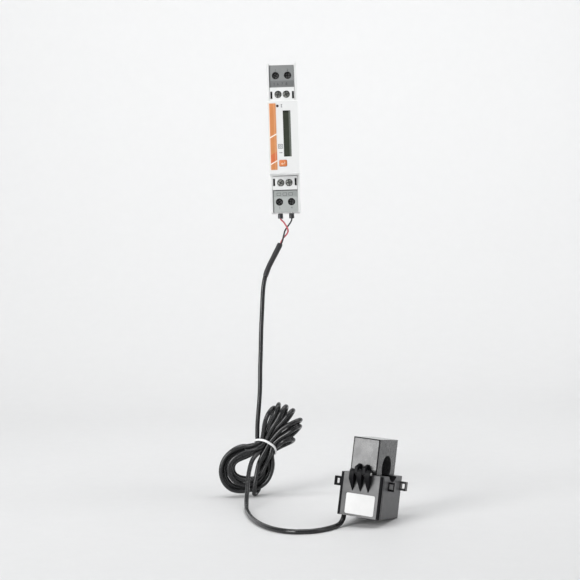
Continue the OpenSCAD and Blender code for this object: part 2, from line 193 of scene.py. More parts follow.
def moulded(name, colour, rough=0.42, grain=0.5, grain_mm=0.18, mottle=0.06, spec=0.5, coat=0.0, metallic=0.0, stretch=(1, 1, 1), rough_var=0.12, bump_d=0.00002):
    """Moulded plastic, rubber or metal: fine grain in the bump, slow mottle in the colour, worn and dusty patches in the roughness."""
    m, nt, b = tree(name)
    v = coords(nt, stretch)
    slow = noise(nt, v, 90, 4, 0.55)
    fine = noise(nt, v, 1000 / grain_mm * 0.5, 2, 0.6)
    col = ramp(nt, slow, [(0.25, shade(colour, 1 - mottle)), (0.55, colour), (0.8, shade(colour, 1 + mottle))])
    nt.links.new(col, b.inputs["Base Color"])
    mid = noise(nt, v, 420, 4, 0.6)
    nt.links.new(span(nt, mid, 0.3, 0.7, rough - rough_var / 2, rough + rough_var / 2), b.inputs["Roughness"])
    b.inputs["Metallic"].default_value = metallic
    b.inputs["Specular IOR Level"].default_value = spec
    if coat:
        b.inputs["Coat Weight"].default_value = coat
        b.inputs["Coat Roughness"].default_value = 0.12
    bump(nt, b, fine, grain, bump_d)
    return m


def brushed(name, colour, rough=0.28, axis=(1, 1, 14)):
    m, nt, b = tree(name)
    v = coords(nt, axis)
    lines = noise(nt, v, 900, 5, 0.65)
    slow = noise(nt, coords(nt), 160, 3, 0.5)
    col = ramp(nt, slow, [(0.3, shade(colour, 0.82)), (0.6, colour), (0.85, shade(colour, 1.08))])
    nt.links.new(col, b.inputs["Base Color"])
    nt.links.new(span(nt, lines, 0.3, 0.7, rough - 0.08, rough + 0.14), b.inputs["Roughness"])
    b.inputs["Metallic"].default_value = 1.0
    bump(nt, b, lines, 0.25, 0.00002)
    return m


M = {}
M["white"] = moulded("white_abs", (0.725, 0.73, 0.725), 0.38, 0.35, 0.22, 0.025, 0.5)
# painted light: a paler copy of the white for the downward faces at the front cover's lower end, which sit in shade
M["white_low"] = moulded("white_abs_painted_light", (0.93, 0.935, 0.93), 0.38, 0.35, 0.22, 0.025, 0.5)
M["white_in"] = moulded("white_inside", (0.68, 0.685, 0.68), 0.5, 0.4, 0.25, 0.05)
# painted shade: near black for the walls of the screw holes and the floors of the seal slots
M["painted_shade_well"] = moulded("painted_shade_well", (0.012, 0.012, 0.013), 0.7, 0.4, 0.3, 0.2)
M["dark_plate"] = moulded("dark_plate", (0.215, 0.222, 0.222), 0.5, 0.7, 0.2, 0.08)
M["light_plate"] = moulded("light_plate", (0.405, 0.425, 0.415), 0.5, 0.7, 0.2, 0.06)
M["print"] = moulded("grey_print", (0.14, 0.145, 0.155), 0.55, 0.3, 0.15, 0.08)
M["print_dark"] = moulded("dark_print", (0.05, 0.05, 0.052), 0.5, 0.3, 0.15, 0.1)
M["print_light"] = moulded("light_print", (0.62, 0.63, 0.63), 0.5, 0.3, 0.15, 0.05)
M["strip"] = moulded("terminal_strip", (0.155, 0.16, 0.16), 0.5, 0.6, 0.2, 0.08)
M["strip_light"] = moulded("terminal_strip_light", (0.325, 0.345, 0.335), 0.5, 0.6, 0.2, 0.06)
# dark print on the plates; also the painted shadow line at the lower plate's top edge
M["print_and_shadow_dark"] = moulded("plate_mark", (0.045, 0.047, 0.05), 0.5, 0.3, 0.15, 0.1)
M["mark_mid"] = moulded("plate_mark_light", (0.12, 0.125, 0.125), 0.5, 0.3, 0.15, 0.1)
M["key_mark"] = moulded("key_mark", (0.80, 0.56, 0.40), 0.36, 0.3, 0.15, 0.05)
M["key"] = moulded("key_orange", (0.62, 0.185, 0.055), 0.33, 0.3, 0.2, 0.06, 0.5, 0.15)
M["pipe"] = moulded("light_pipe_red", (0.075, 0.05, 0.052), 0.2, 0.15, 0.2, 0.1, 0.5, 0.4)
M["steel"] = brushed("zinc_steel", (0.60, 0.60, 0.59), 0.27, (1, 1, 10))
M["screw_head"] = brushed("nickel_screw", (0.53, 0.54, 0.50), 0.25, (1, 1, 10))
# painted shade: dark non-metal for the cross recesses and the shanks under the heads, darker for the main screws
M["recess_main"] = moulded("deep_recess_painted_shade", (0.022, 0.022, 0.021), 0.6, 0.4, 0.2, 0.2)
M["recess"] = moulded("recess_painted_shade", (0.085, 0.085, 0.08), 0.55, 0.4, 0.2, 0.2)
# painted shade: a darker steel for the main screw heads, which sit deep in their holes
M["steel_dark"] = brushed("shaded_steel", (0.22, 0.22, 0.22), 0.4, (1, 1, 10))
M["brass"] = brushed("brass", (0.70, 0.50, 0.20), 0.3, (1, 8, 1))
M["copper"] = brushed("tinned_copper", (0.72, 0.45, 0.30), 0.3, (8, 1, 1))
M["clip"] = moulded("clip_plastic", (0.46, 0.47, 0.475), 0.45, 0.5, 0.25, 0.06)
M["ferrule"] = moulded("ferrule_collar", (0.026, 0.026, 0.028), 0.36, 0.3, 0.2, 0.12, 0.5, 0.1)
M["sleeve"] = moulded("shrink_sleeve", (0.022, 0.022, 0.024), 0.42, 0.6, 0.5, 0.15)
M["red"] = moulded("red_vinyl", (0.50, 0.075, 0.10), 0.36, 0.35, 0.3, 0.08, 0.5, 0.1)
M["black"] = moulded("black_vinyl", (0.018, 0.018, 0.020), 0.36, 0.35, 0.3, 0.12, 0.5, 0.1)
M["tie"] = moulded("white_tie", (0.80, 0.80, 0.80), 0.32, 0.35, 0.3, 0.03, 0.5, 0.1)
M["core"] = moulded("ferrite", (0.09, 0.09, 0.095), 0.45, 0.8, 0.15, 0.15)
M["board"] = moulded("solder_mask", (0.02, 0.13, 0.06), 0.3, 0.5, 0.4, 0.2, 0.5, 0.3)
M["epoxy"] = moulded("black_epoxy", (0.025, 0.025, 0.027), 0.5, 0.6, 0.15, 0.15)
M["film"] = moulded("film_box", (0.55, 0.33, 0.04), 0.35, 0.4, 0.3, 0.06, 0.5, 0.2)
M["can"] = moulded("can_sleeve", (0.02, 0.03, 0.12), 0.28, 0.3, 0.3, 0.1, 0.5, 0.3)
M["disc"] = moulded("varistor_disc", (0.03, 0.07, 0.28), 0.4, 0.5, 0.3, 0.1)
M["tin"] = brushed("tinned_can", (0.55, 0.55, 0.55), 0.35)


def cable_material():
    """Satin vinyl jacket: slow colour change, faint scuffs and fine extrusion grain."""
    m, nt, b = tree("cable_jacket")
    v = coords(nt)
    slow = noise(nt, v, 60, 4, 0.55)
    col = ramp(nt, slow, [(0.3, (0.010, 0.0103, 0.011)), (0.55, (0.015, 0.0153, 0.016)), (0.78, (0.024, 0.024, 0.025))])
    scuff = noise(nt, v, 700, 6, 0.7)
    dust = ramp(nt, scuff, [(0.62, (0, 0, 0)), (0.78, (1, 1, 1))])
    nt.links.new(mix(nt, span(nt, dust, 0, 1, 0, 0.25), col, (0.06, 0.06, 0.06)), b.inputs["Base Color"])
    nt.links.new(span(nt, scuff, 0.3, 0.75, 0.17, 0.33), b.inputs["Roughness"])
    b.inputs["Specular IOR Level"].default_value = 0.5
    bump(nt, b, noise(nt, v, 1800, 3, 0.6), 0.35, 0.00003)
    return m


def sensor_material(name, low, high, grain_strength, pale=None):
    """Black moulded case: spark-eroded grain, with rubbed patches that shine more than the rest. pale paints light on
    one side: it greys the case toward larger x.
    """
    m, nt, b = tree(name)
    v = coords(nt)
    slow = noise(nt, v, 55, 5, 0.6)
    col = ramp(nt, slow, [(0.3, (0.014, 0.0142, 0.015)), (0.55, (0.019, 0.0192, 0.020)), (0.8, (0.027, 0.0272, 0.028))])
    # painted light: greyer toward larger x
    if pale:
        col = mix(nt, span(nt, sep(nt)[0], pale[0], pale[1], 0, 0.85), col, (pale[2], pale[2], pale[2] * 1.03))
    nt.links.new(col, b.inputs["Base Color"])
    nt.links.new(span(nt, noise(nt, v, 210, 6, 0.65), 0.32, 0.68, low, high), b.inputs["Roughness"])
    b.inputs["Specular IOR Level"].default_value = 0.62
    bump(nt, b, noise(nt, v, 2600, 3, 0.6), grain_strength, 0.00003)
    return m


def sep(nt, vec=None):
    tc = node(nt, "ShaderNodeTexCoord")
    s = node(nt, "ShaderNodeSeparateXYZ")
    nt.links.new(tc.outputs["Object"], s.inputs[0])
    return s.outputs


def band(nt, value, lo, hi, soft):
    """1 between lo and hi, with soft edges."""
    a = span(nt, value, lo - soft, lo + soft)
    b = span(nt, value, hi - soft, hi + soft, 1, 0)
    return math_node(nt, "MULTIPLY", a, b)


def stripe_material():
    """Orange overlay: two pale diagonal bars and a redder patch above the lower one."""
    m, nt, b = tree("stripe_overlay")
    x, y, z = sep(nt)
    v = coords(nt)
    # height along the strip, with the slope of the bars in it
    h = math_node(nt, "SUBTRACT", z, math_node(nt, "MULTIPLY", x, 0.56))
    slow = noise(nt, v, 120, 4, 0.5)
    base = ramp(nt, slow, [(0.3, (0.56, 0.215, 0.078)), (0.7, (0.60, 0.24, 0.09))])
    red = band(nt, h, -0.0112, -0.0062, 0.0002)
    base = mix(nt, red, base, (0.60, 0.155, 0.058))
    bars = math_node(nt, "MAXIMUM", band(nt, h, 0.00387, 0.00467, 0.00008), band(nt, h, -0.01203, -0.01133, 0.00008))
    streak = band(nt, x, -0.00535, -0.00485, 0.0002)
    base = mix(nt, span(nt, streak, 0, 1, 0, 0.4), base, (0.80, 0.50, 0.30))
    base = mix(nt, bars, base, (0.88, 0.80, 0.74))
    # pale printed border down both long sides and across the ends
    rim = math_node(nt, "SUBTRACT", 1.0, math_node(nt, "MULTIPLY", band(nt, x, -0.00798, -0.00418, 0.00008), band(nt, z, -0.01945, 0.02025, 0.00008)))
    base = mix(nt, rim, base, (0.86, 0.74, 0.64))
    nt.links.new(base, b.inputs["Base Color"])
    nt.links.new(span(nt, noise(nt, v, 500, 4, 0.6), 0.3, 0.7, 0.30, 0.42), b.inputs["Roughness"])
    bump(nt, b, noise(nt, v, 2500, 2, 0.6), 0.2, 0.00002)
    return m


def window_material():
    """Tinted window over the liquid crystal: olive grey, paler down its right side."""
    m, nt, b = tree("tinted_window")
    x, y, z = sep(nt)
    v = coords(nt)
    slow = noise(nt, v, 150, 3, 0.5)
    base = ramp(nt, slow, [(0.3, (0.030, 0.036, 0.025)), (0.7, (0.040, 0.047, 0.033))])
    ends = math_node(nt, "MAXIMUM", band(nt, z, 0.0146, 0.0160, 0.0001), band(nt, z, -0.0118, -0.0108, 0.0001))
    base = mix(nt, ends, base, (0.020, 0.024, 0.017))
    right = band(nt, x, 0.0035, 0.0046, 0.0002)
    base = mix(nt, span(nt, right, 0, 1, 0, 0.85), base, (0.15, 0.165, 0.145))
    nt.links.new(base, b.inputs["Base Color"])
    nt.links.new(span(nt, noise(nt, v, 400, 4, 0.6), 0.3, 0.7, 0.10, 0.20), b.inputs["Roughness"])
    b.inputs["Coat Weight"].default_value = 0.3
    b.inputs["Coat Roughness"].default_value = 0.06
    bump(nt, b, noise(nt, v, 300, 3, 0.5), 0.06, 0.00002)
    return m


def carrier_material():
    """Terminal block: white moulding, with painted shade (near black) inside its wells and chambers and under the seal
    slots.
    """
    m, nt, b = tree("terminal_block")
    x, y, z = sep(nt)
    v = coords(nt)
    ax, az = math_node(nt, "ABSOLUTE", x), math_node(nt, "ABSOLUTE", z)
    # painted shade: near black inside the wells and chambers and under the seal slots
    inside = math_node(nt, "MULTIPLY", band(nt, y, -0.0424, -0.017, 0.0002), band(nt, az, 0.0229, 0.0444, 0.0001))
    slots = math_node(nt, "MULTIPLY", band(nt, ax, 0.0058, 0.0074, 0.00005), band(nt, az, 0.0238, 0.0290, 0.00005))
    dark = math_node(nt, "MAXIMUM", inside, slots)
    white = ramp(nt, noise(nt, v, 90, 4, 0.55), [(0.3, (0.64, 0.645, 0.64)), (0.7, (0.70, 0.705, 0.70))])
    nt.links.new(mix(nt, dark, white, (0.012, 0.012, 0.013)), b.inputs["Base Color"])
    nt.links.new(span(nt, noise(nt, v, 420, 4, 0.6), 0.3, 0.7, 0.44, 0.58), b.inputs["Roughness"])
    bump(nt, b, noise(nt, v, 2200, 2, 0.6), 0.35, 0.00002)
    return m


def lcd_material():
    m, nt, b = tree("liquid_crystal")
    v = coords(nt)
    base = ramp(nt, noise(nt, v, 200, 4, 0.5), [(0.3, (0.05, 0.06, 0.04)), (0.7, (0.075, 0.085, 0.055))])
    nt.links.new(base, b.inputs["Base Color"])
    nt.links.new(span(nt, noise(nt, v, 500, 3, 0.5), 0.3, 0.7, 0.15, 0.3), b.inputs["Roughness"])
    return m


def label_material():
    """White sticker, left bare: paper tooth and slow changes of tone."""
    m, nt, b = tree("bare_label")
    v = coords(nt)
    base = ramp(nt, noise(nt, v, 260, 5, 0.6), [(0.3, (0.64, 0.64, 0.635)), (0.7, (0.685, 0.685, 0.68))])
    nt.links.new(base, b.inputs["Base Color"])
    nt.links.new(span(nt, noise(nt, v, 900, 3, 0.5), 0.3, 0.7, 0.42, 0.56), b.inputs["Roughness"])
    bump(nt, b, noise(nt, v, 1600, 4, 0.6), 0.3, 0.00002)
    return m


M["cable"] = cable_material()
# painted light: both cases are greyer on their right-hand sides
M["sensor"] = sensor_material("sensor_case", 0.36, 0.46, 0.5, (0.029, 0.0435, 0.085))
M["sensor_cap"] = sensor_material("sensor_cap_case", 0.22, 0.34, 0.3, (0.0445, 0.0465, 0.06))
# painted shade: near-black copy of the case for the knuckles, hooks and latch and the inside of the window trough
M["sensor_dark"] = moulded("sensor_parts_painted_shade", (0.006, 0.006, 0.007), 0.42, 0.3, 0.3, 0.15, 0.1)
# painted shade: dark lines along the rims of the front faces, on the strap eye and in bands down the sides
M["sensor_edge"] = moulded("sensor_rim_painted_shade", (0.012, 0.012, 0.013), 0.68, 0.4, 0.25, 0.2, 0.05)
M["stripe"] = stripe_material()
M["window"] = window_material()
M["lcd"] = lcd_material()
M["label"] = label_material()
M["carrier"] = carrier_material()
M["sensor_top"] = sensor_material("sensor_cap_top", 0.10, 0.16, 0.06)


# ------------------------------------------------------------------ mesh helpers
def link(name, me, mat=None, body="root", replaces=(), children_of=None):
    o = bpy.data.objects.new(name, me)
    SCENE.collection.objects.link(o)
    if mat is not None:
        for m in mat if isinstance(mat, (list, tuple)) else [mat]:
            me.materials.append(m)
    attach(o, body)
    if replaces:
        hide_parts(*([replaces] if isinstance(replaces, str) else replaces))
    return o


def smooth(bm, angle=32):
    for f in bm.faces:
        f.smooth = True
    for e in bm.edges:
        e.smooth = not (len(e.link_faces) == 2 and e.calc_face_angle(0) > math.radians(angle))


def finish_mesh(bm, name, angle=32):
    bmesh.ops.recalc_face_normals(bm, faces=bm.faces)
    smooth(bm, angle)
    me = bpy.data.meshes.new(name)
    bm.to_mesh(me)
    bm.free()
    return me


def soften(node_name, name, mat, width=0.25, segments=2, angle=32, tag=None, body=None, cuts=()):
    """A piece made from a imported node's own surface, with rounded edges. tag(face centre, normal) picks a material index."""
    src = NODES[node_name]
    bm = bmesh.new()
    bm.from_mesh(src.data)
    bmesh.ops.remove_doubles(bm, verts=bm.verts, dist=2e-6)
    bmesh.ops.dissolve_limit(bm, angle_limit=math.radians(0.6), verts=bm.verts, edges=bm.edges, delimit={"NORMAL"})
    for f in bm.faces:
        f.material_index = 0
    sharp = [e for e in bm.edges if len(e.link_faces) == 2 and e.calc_face_angle(0) > math.radians(angle)]
    if width:
        bmesh.ops.bevel(bm, geom=sharp, offset=width * MM, offset_type="OFFSET", segments=segments, profile=0.5, affect="EDGES", clamp_overlap=True, harden_normals=False)
    bmesh.ops.remove_doubles(bm, verts=bm.verts, dist=2e-6)
    bmesh.ops.dissolve_degenerate(bm, edges=bm.edges, dist=1e-6)
    for co, no in cuts:
        bmesh.ops.bisect_plane(bm, geom=bm.verts[:] + bm.edges[:] + bm.faces[:], dist=1e-7, plane_co=co, plane_no=no)
    bm.normal_update()
    if tag:
        for f in bm.faces:
            f.material_index = tag(f.calc_center_median() / MM, f.normal)
    me = finish_mesh(bm, name, 38)
    o = link(name, me, mat, body or src["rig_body"], node_name)
    w = o.modifiers.new("normals", "WEIGHTED_NORMAL")
    w.keep_sharp = True
    w.weight = 80
    return o


def frames_along(P):
    """Unit tangents and two normals along a path, carried without twist."""
    P = np.asarray(P, float)
    T = np.gradient(P, axis=0)
    T /= np.linalg.norm(T, axis=1)[:, None] + 1e-12
    n = np.cross(T[0], (0, 0, 1.0))
    if np.linalg.norm(n) < 0.1:
        n = np.cross(T[0], (1.0, 0, 0))
    n /= np.linalg.norm(n)
    N = [n]
    for i in range(1, len(P)):
        n = N[-1] - T[i] * (N[-1] @ T[i])
        n /= np.linalg.norm(n)
        N.append(n)
    N = np.array(N)
    return T, N, np.cross(T, N)


def sweep(bm, P, R, sides=16, cap=True, squash=1.0):
    """A tube along P with radius R at each point, closed at its ends. Lengths in metres."""
    T, N, B = frames_along(P)
    rings = []
    for i, p in enumerate(P):
        r = R[i] if hasattr(R, "__len__") else R
        rings.append([bm.verts.new(Vector(p + r * (math.cos(a) * N[i] + squash * math.sin(a) * B[i]))) for a in [2 * math.pi * k / sides for k in range(sides)]])
    for a, b in zip(rings, rings[1:]):
        for k in range(sides):
            bm.faces.new((a[k], a[(k + 1) % sides], b[(k + 1) % sides], b[k]))
    if cap:
        bm.faces.new(rings[0][::-1])
        bm.faces.new(rings[-1])
    return rings


def lathe(bm, profile, place, sides=40, close=True):
    """Turns (radius, height) pairs round the Z axis, then moves each point by place."""
    rings = []
    for r, h in profile:
        if r < 1e-9:
            rings.append([bm.verts.new(place @ Vector((0, 0, h)))])
        else:
            rings.append([bm.verts.new(place @ Vector((r * math.cos(2 * math.pi * k / sides), r * math.sin(2 * math.pi * k / sides), h))) for k in range(sides)])
    pairs = list(zip(rings, rings[1:])) + ([(rings[-1], rings[0])] if close and len(rings[0]) > 1 and len(rings[-1]) > 1 else [])
    for a, b in pairs:
        for k in range(sides):
            k2 = (k + 1) % sides
            if len(a) == 1 and len(b) == 1:
                continue
            if len(a) == 1:
                bm.faces.new((a[0], b[k2], b[k]))
            elif len(b) == 1:
                bm.faces.new((a[k], a[k2], b[0]))
            else:
                bm.faces.new((a[k], a[k2], b[k2], b[k]))


def catmull(P, ds):
    """Centripetal Catmull-Rom curve through P, resampled every ds."""
    P = np.asarray(P, float)
    ext = np.vstack([2 * P[0] - P[1], P, 2 * P[-1] - P[-2]])
    out = []
    for i in range(1, len(ext) - 2):
        p0, p1, p2, p3 = ext[i - 1:i + 3]
        t0 = 0.0
        t1 = t0 + np.linalg.norm(p1 - p0) ** 0.5
        t2 = t1 + np.linalg.norm(p2 - p1) ** 0.5
        t3 = t2 + np.linalg.norm(p3 - p2) ** 0.5
        for t in np.linspace(t1, t2, 24, endpoint=False):
            a1 = (t1 - t) / (t1 - t0) * p0 + (t - t0) / (t1 - t0) * p1
            a2 = (t2 - t) / (t2 - t1) * p1 + (t - t1) / (t2 - t1) * p2
            a3 = (t3 - t) / (t3 - t2) * p2 + (t - t2) / (t3 - t2) * p3
            b1 = (t2 - t) / (t2 - t0) * a1 + (t - t0) / (t2 - t0) * a2
            b2 = (t3 - t) / (t3 - t1) * a2 + (t - t1) / (t3 - t1) * a3
            out.append((t2 - t) / (t2 - t1) * b1 + (t - t1) / (t2 - t1) * b2)
    out.append(P[-1])
    out = np.array(out)
    s = np.r_[0, np.cumsum(np.linalg.norm(np.diff(out, axis=0), axis=1))]
    n = max(2, int(round(s[-1] / ds)))
    q = np.linspace(0, s[-1], n + 1)
    return np.stack([np.interp(q, s, out[:, k]) for k in range(3)], 1)


# ------------------------------------------------------------------ cords
CABLE_D, CORE_D = 2.7, 1.0
RED = [[-3.4, -32.28, -48.6], [-2.95, -32.4, -49.25], [-1.5, -32.8, -50.7], [-0.1, -33.2, -52.9], [0.8, -33.4, -54.9], [0.9, -33.2, -56.5], [0.2, -32.8, -58.0], [-1.0, -32.6, -59.3], [-2.1, -32.6, -60.4], [-3.0, -33.2, -61.8], [-3.8, -34.0, -63.6]]
BLACK = [[3.5, -32.28, -48.6], [3.4, -32.2, -49.4], [2.8, -32.1, -50.7], [1.5, -31.9, -52.5], [0.1, -32.0, -54.3], [-1.0, -32.5, -56.1], [-1.6, -33.4, -58.0], [-2.1, -34.0, -60.0], [-2.6, -34.3, -62.0], [-3.4, -34.6, -63.9]]
SLEEVE = [[-4.1, -34.4, -63.9], [-5.1, -34.9, -65.9], [-8.2, -36.2, -71.6], [-11.4, -37.8, -77.5], [-13.2, -38.9, -81.8], [-13.9, -39.5, -83.8]]
UPPER = [[-13.9, -39.5, -83.8], [-14.7, -40.3, -87.0], [-15.5, -41.2, -92.0], [-16.0, -42.0, -98.0], [-16.6, -43.0, -106], [-17.2, -44.0, -114], [-17.7, -44.9, -122.5], [-18.1, -45.7, -130.5], [-18.6, -46.4, -138.5], [-18.9, -47.0, -146.0], [-19.3, -47.4, -153.5], [-19.9, -47.6, -160.0], [-20.7, -47.7, -167.0], [-21.4, -47.6, -174.0], [-21.75, -47.45, -180.5], [-21.95, -47.2, -184.9]]
LOWER = [[-24.0, -52.2, -190.5], [-25.2, -56.5, -194.4], [-26.5, -62.0, -198.0], [-27.4, -69.0, -202.4], [-27.8, -77.5, -208.0], [-28.2, -84.5, -212.4], [-28.2, -91.0, -215.5], [-27.8, -98.0, -216.6], [-26.8, -106, -216.65], [-25.6, -114, -216.65], [-24.0, -122, -216.65], [-21.9, -130, -216.65], [-19.3, -138, -216.65], [-16.0, -145.5, -216.65], [-11.7, -152.5, -216.65], [-6.2, -158.3, -216.65], [0.4, -161.6, -216.65], [7.2, -161.8, -216.65], [13.2, -159.2, -216.65], [18.0, -154.9, -216.65], [22.0, -149.6, -216.6], [24.3, -146.3, -215.9], [25.7, -144.2, -214.4], [26.3, -143.2, -213.1], [26.58, -142.7, -211.8], [26.7, -142.6, -210.9]]

# where a point of the 580 x 580 picture lies, at a given depth
CAM = np.array([1.036, -899.888, -61.752])
FWD = np.array([0, math.cos(PITCH), -math.sin(PITCH)])
UPV = np.array([0, math.sin(PITCH), math.cos(PITCH)])


def at_depth(px, py, y):
    dx, dy = px - 290, py - 290
    a = dx * math.cos(ROLL) - dy * math.sin(ROLL)
    b = dx * math.sin(ROLL) + dy * math.cos(ROLL)
    d = FWD + np.array([1, 0, 0]) * a / 1400 - UPV * b / 1400
    return CAM + d * (y - CAM[1]) / d[1]


def top_px(x, y, depth):
    return at_depth(240 + x / 23, 398 + y / 23, depth)


def low_px(x, y, depth):
    return at_depth(214 + x / 21, 436 + y / 21, depth)


# the hank's waist: its middle, the plane of the tie, the way the turns run through it, and two directions across it
WAIST = np.array([-16.9, -47.1, -188.0])
TIE_N = np.array([0.42, 0.60, 0.68]); TIE_N /= np.linalg.norm(TIE_N)
RUN = np.array([0.60, 0.25, 0.76]); RUN /= np.linalg.norm(RUN)
ACROSS = np.array([-0.785, 0, 0.62]); ACROSS /= np.linalg.norm(ACROSS)
FRONT = np.cross(RUN, ACROSS)
# each pass through the tie: how far across (left is plus) and how far to the front
PLACES = {1: (5.5, -0.1), 2: (-1.37, -2.35), 3: (-1.5, 4.7), 4: (1.4, -4.7), 5: (3.9, 2.7), 6: (-5.4, 0.0), 7: (-2.7, 0.0), 8: (3.7, -3.0), 9: (2.7, 0.0), 10: (-4.1, -2.5), 11: (-4.3, 2.35), 12: (1.37, -2.35), 13: (1.4, 4.7), 14: (-1.4, -4.7), 15: (-1.1, 2.35)}


def in_tie(i, along=0.0):
    b, c = PLACES[i]
    p = WAIST + ACROSS * b + FRONT * c
    return p - RUN * ((p - WAIST) @ TIE_N) / (RUN @ TIE_N) + RUN * along


def passing(i, down):
    r = [in_tie(i, 1.8), in_tie(i, -1.8)]
    return r if down else r[::-1]


def turn(pts, depths):
    """A lower turn, through picture points, with its depth running through the given values."""
    q = np.interp(np.linspace(0, 1, len(pts)), np.linspace(0, 1, len(depths)), depths)
    return [low_px(x, y, float(d)) for (x, y), d in zip(pts, q)]


def fold(tip, back, front, up, down, R, mid, apart):
    """An upper loop: up its back strand, over a fold that stands in depth, down its front strand."""
    t = np.array(tip, float)
    m = (np.array(back[-1], float) + np.array(front[-1], float)) / 2
    e = (t - m) / np.linalg.norm(t - m)
    side = np.array([-e[1], e[0]])
    k = 1.643 * 23
    c = t - e * R * k
    yu, yd = in_tie(up)[1], in_tie(down)[1]
    out = []
    for i, (x, y) in enumerate(back):
        out.append(top_px(x, y, yu + (mid + R - yu) * ((i + 1) / (len(back) + 1)) ** 0.7))
    for deg in (-75, -45, -15, 15, 45, 75):
        a = math.radians(deg)
        q = c + e * R * k * math.cos(a) + side * apart * k / 2 * math.sin(a)
        out.append(top_px(q[0], q[1], mid - R * math.sin(a)))
    for i, (x, y) in enumerate(front[::-1]):
        out.append(top_px(x, y, yd + (mid - R - yd) * (1 - (i + 1) / (len(front) + 1)) ** 0.7))
    return out


def hank_controls():
    """The hank's route: eight passes down through the tie and seven up, with seven lower turns and seven upper loops."""
    outer = [(860, 190), (740, 212), (570, 238), (430, 292), (300, 378), (205, 500), (152, 650), (145, 780), (175, 910), (255, 1040), (370, 1128), (490, 1160), (600, 1150), (760, 1130), (900, 1095), (1040, 1020), (1140, 900), (1195, 760), (1205, 600), (1190, 440)]
    outer_back = [(900, 165), (760, 200), (600, 225), (450, 275), (320, 355), (222, 475), (165, 620), (152, 760), (178, 900), (250, 1020), (360, 1110), (480, 1145), (600, 1135), (750, 1110), (900, 1060), (1030, 970), (1110, 850), (1160, 700), (1180, 560), (1180, 440)]
    second = [(600, 288), (470, 335), (360, 415), (275, 520), (232, 640), (228, 760), (255, 870), (330, 985), (430, 1058), (540, 1090), (680, 1085), (830, 1050), (970, 990), (1080, 890), (1135, 760), (1150, 600), (1140, 450)]
    third = [(830, 300), (700, 335), (560, 385), (440, 450), (350, 540), (310, 640), (312, 740), (345, 830), (420, 920), (520, 990), (640, 1020), (780, 1000), (920, 940), (1020, 840), (1080, 720), (1100, 580), (1110, 460)]
    inner = [(820, 370), (700, 420), (590, 480), (490, 545), (410, 620), (378, 680), (410, 745), (490, 810), (590, 860), (700, 890), (830, 880), (950, 820), (1020, 720), (1050, 600), (1065, 470)]
    inner_front = [(830, 340), (700, 385), (570, 445), (460, 515), (375, 600), (340, 680), (360, 770), (440, 860), (550, 930), (680, 965), (810, 950), (940, 880), (1030, 770), (1070, 640), (1085, 480)]
    lowest = [(1150, 205), (1060, 262), (985, 345), (950, 450), (940, 570), (915, 700), (885, 850), (868, 1000), (852, 1130), (842, 1215), (850, 1230), (880, 1180), (930, 1090), (1010, 970), (1080, 830), (1120, 680), (1140, 540), (1150, 430)]
    leaving = [(980, 310), (900, 370), (825, 455)]
    c = [UPPER[-1], [-22.7, -47.1, -187.4]]
    c += turn(second, [-46.9, -47.2, -47.2, -46.6, -45.6, -45.2]) + passing(2, False)
    c += fold((1392, 500), [(900, 890), (1060, 780), (1200, 670)], [(810, 850), (960, 720), (1120, 610)], 2, 3, 5.35, -47.2, -1.2)
    c += passing(3, True) + turn(lowest, [-51.6, -51.9, -51.8, -51.2, -50.2, -46.0, -43.2, -42.6, -42.8]) + passing(4, False)
    c += fold((785, 228), [(620, 760), (690, 620), (745, 480)], [(540, 730), (570, 590), (615, 450)], 4, 5, 5.35, -46.8, -3.4)
    c += passing(5, True) + turn(outer, [-49.6, -49.9, -49.4, -48.6, -47.8, -47.4]) + passing(6, False)
    c += fold((1165, 985), [(880, 1100), (980, 1090)], [(850, 1020), (960, 1000)], 6, 7, 5.35, -46.9, -2.4)
    c += passing(7, True) + turn(inner[::-1], [-46.2, -45.4, -44.8, -44.6, -44.6, -44.8]) + passing(8, False)
    c += fold((885, 160), [(660, 740), (760, 560), (820, 400)], [(640, 760), (730, 580), (800, 400)], 8, 9, 5.35, -47.0, -0.6)
    c += passing(9, True) + turn(outer_back, [-46.4, -45.2, -44.4, -43.8, -43.8, -44.6]) + passing(10, False)
    c += fold((1372, 650), [(930, 1000), (1080, 930), (1200, 840)], [(860, 950), (1010, 870), (1150, 780)], 10, 11, 5.35, -46.8, -1.6)
    c += passing(11, True) + turn(inner_front[::-1], [-49.4, -49.2, -48.8, -48.2, -47.2, -46.0]) + passing(12, False)
    c += fold((1062, 193), [(790, 760), (890, 600), (985, 450)], [(665, 790), (780, 600), (890, 420)], 12, 13, 5.35, -47.1, -1.8)
    c += passing(13, True) + turn(third, [-51.6, -51.4, -50.6, -49.4, -47.4, -44.4]) + passing(14, False)
    c += fold((1218, 283), [(850, 770), (980, 630), (1090, 490)], [(760, 790), (890, 640), (1020, 500)], 14, 15, 5.35, -46.9, -1.4)
    c += passing(15, True) + turn(leaving, [-50.2, -51.4, -53.4]) + [LOWER[1]]
    return np.array([list(map(float, p)) for p in c])


